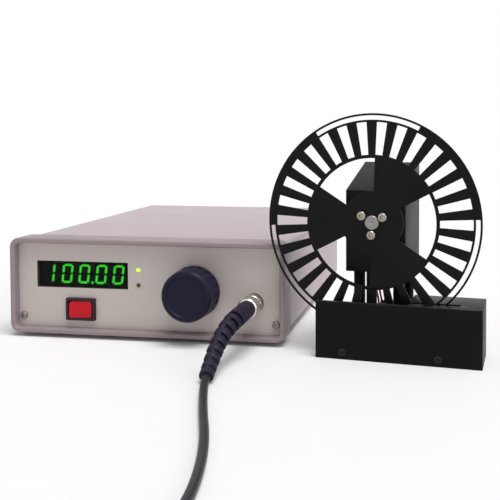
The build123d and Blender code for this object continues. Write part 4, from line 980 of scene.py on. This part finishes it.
def stored_coil(turns):
    """Points of the coil in two layers, inwards below and outwards above, about its middle."""
    points = []
    half = turns / 2
    for step in range(turns * TURN_POINTS + 1):
        turned = step / TURN_POINTS
        radius = COIL_OUTER - COIL_PITCH * min(turned, turns - turned)
        rise = min(max((turned - half + CLIMB / 2) / CLIMB, 0.0), 1.0)
        height = LOWER_LAYER + (UPPER_LAYER - LOWER_LAYER) * rise
        angle = math.pi + 2 * math.pi * turned
        points.append((radius * math.cos(angle), radius * math.sin(angle), height))
    return points


class CHOPPER_OT_lead(bpy.types.Operator):
    """Coaxial lead with its boot, plugs, stored coil and tie"""
    bl_idname = "chopper.lead"
    bl_label = "Lead"
    bl_options = {"REGISTER", "UNDO"}

    def execute(self, context):
        lead = context.scene.chopper_lead
        jacket = coated(
            "lead jacket", tuple(lead.jacket), shown(54, 51, 58),
            fleck_amount=0.25, scale=1200.0, gloss=(0.38, 0.5), relief=0.08, shine=0.4,
        )
        rubber = coated(
            "boot rubber", shown(30, 24, 42), shown(52, 44, 66),
            fleck_amount=0.3, scale=1500.0, gloss=(0.42, 0.56), relief=0.12, shine=0.2,
        )
        middle = Vector((COIL.x, COIL.y, 0.0))
        points = [UNIT + Vector(point) / 1000 for point in LEAD_ROUTE]
        points += [middle + Vector(point) / 1000 for point in stored_coil(lead.turns)]
        points += [middle + Vector(point) / 1000 for point in FAR_ROUTE]
        curve = self.spline(points, lead.radius)
        piece = bpy.data.objects.new("coaxial_lead", curve)
        bpy.context.scene.collection.objects.link(piece)
        curve.materials.append(jacket)
        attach(piece, BODY_OF["cable"])
        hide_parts("cable", "cable_coil")
        line = self.centre_line(points)
        boot = self.boot(line, lead, rubber)
        nut_grip = self.knurl("plug_nut", lead.knurls)
        rounded("plug_nut", plating(), TURNED_EDGE, 2)
        dress(plating(), "plug_body")
        far_boot = self.far_plug(middle, lead, rubber)
        dress(black_moulding(), "coil_tie")
        return {"FINISHED"}

    def spline(self, points, radius):
        """The lead's route as one smooth curve."""
        curve = bpy.data.curves.new("coaxial_lead", "CURVE")
        curve.dimensions = "3D"
        curve.resolution_u = 10
        curve.bevel_depth = radius
        curve.bevel_resolution = 5
        curve.use_fill_caps = True
        route = curve.splines.new("NURBS")
        route.points.add(len(points) - 1)
        for place, point in zip(route.points, points):
            place.co = (*point, 1.0)
        route.order_u = 3
        route.use_endpoint_u = True
        return curve

    def centre_line(self, points):
        """Points read from the route's own spline."""
        draft = bpy.data.objects.new("lead_line", self.spline(points, 0.0))
        bpy.context.scene.collection.objects.link(draft)
        mesh = plain_mesh(draft)
        return [vertex.co.copy() for vertex in mesh.vertices]

    def boot(self, line, lead, material):
        """Ribbed boot along the lead's first stretch."""
        reach = [tuple(line[0])]
        travelled = 0.0
        for before, after in zip(line, line[1:]):
            travelled += (after - before).length
            if travelled > lead.boot_length:
                break
            reach.append(tuple(after))
        values = {
            "Ribs": lead.ribs,
            "Core Radius": lead.core,
            "First Rib": lead.rib_start,
            "Last Rib": lead.rib_end,
            "Rib Length": RIB_LENGTH,
            "Plain Share": PLAIN_SHARE,
        }
        seed = line_mesh("boot_line", reach)
        piece = grown("ribbed_boot", seed, tree_of("boot"), values, material, "boot")
        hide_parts("boot")
        return piece

    def far_plug(self, middle, lead, rubber):
        """Plated nut of the far plug, with a short ribbed boot in place of the CAD's plain cone."""
        nut = rounded("far_plug", plating(), TURNED_EDGE, 2)
        start = middle + Vector((FAR_NUT_END, FAR_PLUG_SIDE, FAR_PLUG_HEIGHT)) / 1000
        shape = bmesh.new()
        shape.from_mesh(nut.data)
        cone = [face for face in shape.faces if face.calc_center_median().x < start.x - CONE_MARGIN]
        bmesh.ops.delete(shape, geom=cone, context="FACES")
        shape.to_mesh(nut.data)
        shape.free()
        places = []
        for step in range(FAR_BOOT_STEPS + 1):
            back = Vector((FAR_BOOT_LENGTH * step / FAR_BOOT_STEPS, 0.0, 0.0))
            places.append(tuple(start - back))
        values = {
            "Ribs": FAR_RIBS,
            "Core Radius": lead.core,
            "First Rib": lead.rib_start,
            "Last Rib": FAR_LAST_RIB,
            "Rib Length": FAR_RIB_LENGTH,
            "Plain Share": FAR_PLAIN_SHARE,
        }
        seed = line_mesh("far_boot_line", places)
        return grown("far_boot", seed, tree_of("boot"), values, rubber, "far_plug")

    def knurl(self, node, count):
        """Fine plated ridges round a plug's nut."""
        low, high = (Vector(corner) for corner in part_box(node))
        centre = (low + high) / 2
        seed = bpy.data.meshes.new(node + "_seed")
        values = {
            "Count": count,
            "Radius": (high.x - low.x) / 2 - KNURL_SUNK,
            "Ridge": (KNURL_DEPTH, KNURL_WIDTH, KNURL_LENGTH),
            "Turn": (math.pi / 2, 0.0, 0.0),
            "Place": (centre.x, UNIT.y + KNURL_MIDDLE, centre.z),
        }
        return grown(node + "_knurl", seed, tree_of("ridges"), values, plating(), node)


# Lens and place of the camera, in the control unit's frame, from the photograph: pixels, metres, degrees
FOCAL_PIXELS = 718.2
PICTURE_PIXELS = 500
PRINCIPAL = (356.0, 150.0)
CAMERA_AT = (0.32796, -0.48548, 0.15588)
CAMERA_PITCH = 1.967
CAMERA_YAW = 8.142

# Half the floor's side and the point that the lamps face, metres, and how dark the floor's flecks are
FLOOR_REACH = 6.0
LAMP_AIM = (0.0, 0.0, 0.05)
FLOOR_FLECK = 0.97


class CHOPPER_OT_studio(bpy.types.Operator):
    """Camera, floor, lamps and sky"""
    bl_idname = "chopper.studio"
    bl_label = "Studio"
    bl_options = {"REGISTER", "UNDO"}

    def execute(self, context):
        studio = context.scene.chopper_studio
        self.camera()
        self.floor(studio)
        self.lamps(studio)
        self.sky(studio)
        context.scene.view_settings.view_transform = "Standard"
        return {"FINISHED"}

    def camera(self):
        data = bpy.data.cameras.new("camera")
        data.sensor_width = 36.0
        data.lens = FOCAL_PIXELS * data.sensor_width / PICTURE_PIXELS
        data.shift_x = (PICTURE_PIXELS / 2 - PRINCIPAL[0]) / PICTURE_PIXELS
        data.shift_y = (PRINCIPAL[1] - PICTURE_PIXELS / 2) / PICTURE_PIXELS
        data.clip_end = 50.0
        camera = bpy.data.objects.new("camera", data)
        bpy.context.scene.collection.objects.link(camera)
        pitch, yaw = math.radians(CAMERA_PITCH), math.radians(CAMERA_YAW)
        camera.location = UNIT + Vector(CAMERA_AT)
        camera.rotation_euler = (math.pi / 2 - pitch, 0.0, yaw)
        bpy.context.scene.camera = camera

    def floor(self, studio):
        corners = [(FLOOR_REACH * x, FLOOR_REACH * y, 0.0) for x, y in ((-1, -1), (1, -1), (1, 1), (-1, 1))]
        mesh = bpy.data.meshes.new("studio_floor")
        mesh.from_pydata(corners, [], [(0, 1, 2, 3)])
        matt = coated(
            "studio floor", tuple(studio.floor), tuple(FLOOR_FLECK * part for part in studio.floor),
            fleck_amount=0.3, scale=40.0, gloss=(0.75, 0.9), relief=0.0,
        )
        mesh.materials.append(matt)
        floor = bpy.data.objects.new("studio_floor", mesh)
        bpy.context.scene.collection.objects.link(floor)

    def lamps(self, studio):
        for name, strength, spread, place in (
            ("key", studio.key_light, 34.0, (0.3, -0.3, 1.3)),
            ("fill", studio.fill_light, 50.0, (1.2, -0.25, 0.6)),
        ):
            data = bpy.data.lights.new(name, "SUN")
            data.energy = strength
            data.angle = math.radians(spread)
            lamp = bpy.data.objects.new(name, data)
            lamp.location = place
            aim = Vector(LAMP_AIM) - Vector(place)
            lamp.rotation_euler = aim.to_track_quat("-Z", "Y").to_euler()
            bpy.context.scene.collection.objects.link(lamp)

    def sky(self, studio):
        world = bpy.data.worlds.new("studio sky")
        bpy.context.scene.world = world
        world.use_nodes = True
        tree = world.node_tree
        background = tree.nodes["Background"]
        background.inputs["Color"].default_value = (1.0, 1.0, 1.0, 1.0)
        rays = tree.nodes.new("ShaderNodeLightPath")
        seen = math_node(tree, "MAXIMUM", rays.outputs["Is Camera Ray"], rays.outputs["Is Glossy Ray"])
        seen = math_node(tree, "MAXIMUM", seen, rays.outputs["Is Transmission Ray"])
        added = math_node(tree, "MULTIPLY", seen, 1.0 - studio.sky_light)
        level = math_node(tree, "ADD", studio.sky_light, added)
        tree.links.new(level, background.inputs["Strength"])


BUILDERS = (
    CHOPPER_OT_studio, CHOPPER_OT_lead, CHOPPER_OT_case, CHOPPER_OT_display, CHOPPER_OT_controls,
    CHOPPER_OT_connectors, CHOPPER_OT_inside, CHOPPER_OT_head, CHOPPER_OT_wheel,
)
LOOKS = {
    "chopper_case": CaseLook,
    "chopper_panel": PanelLook,
    "chopper_head": HeadLook,
    "chopper_lead": LeadLook,
    "chopper_studio": StudioLook,
}


class CHOPPER_PT_panel(bpy.types.Panel):
    """Sizes and colours of the chopper set, and its builders"""
    bl_label = "Chopper"
    bl_idname = "CHOPPER_PT_panel"
    bl_space_type = "VIEW_3D"
    bl_region_type = "UI"
    bl_category = "Chopper"

    def draw(self, context):
        for name, group in LOOKS.items():
            values = getattr(context.scene, name)
            box = self.layout.box()
            for field in group.__annotations__:
                box.prop(values, field)
        for builder in BUILDERS:
            self.layout.operator(builder.bl_idname)


CLASSES = (*LOOKS.values(), *BUILDERS, CHOPPER_PT_panel)


def register():
    for item in CLASSES:
        bpy.utils.register_class(item)
    for name, group in LOOKS.items():
        setattr(bpy.types.Scene, name, bpy.props.PointerProperty(type=group))


def unregister():
    for name in LOOKS:
        delattr(bpy.types.Scene, name)
    for item in reversed(CLASSES):
        bpy.utils.unregister_class(item)


def main():
    register()
    for builder in BUILDERS:
        family, name = builder.bl_idname.split(".")
        getattr(getattr(bpy.ops, family), name)()


if __name__ == "__main__":
    main()
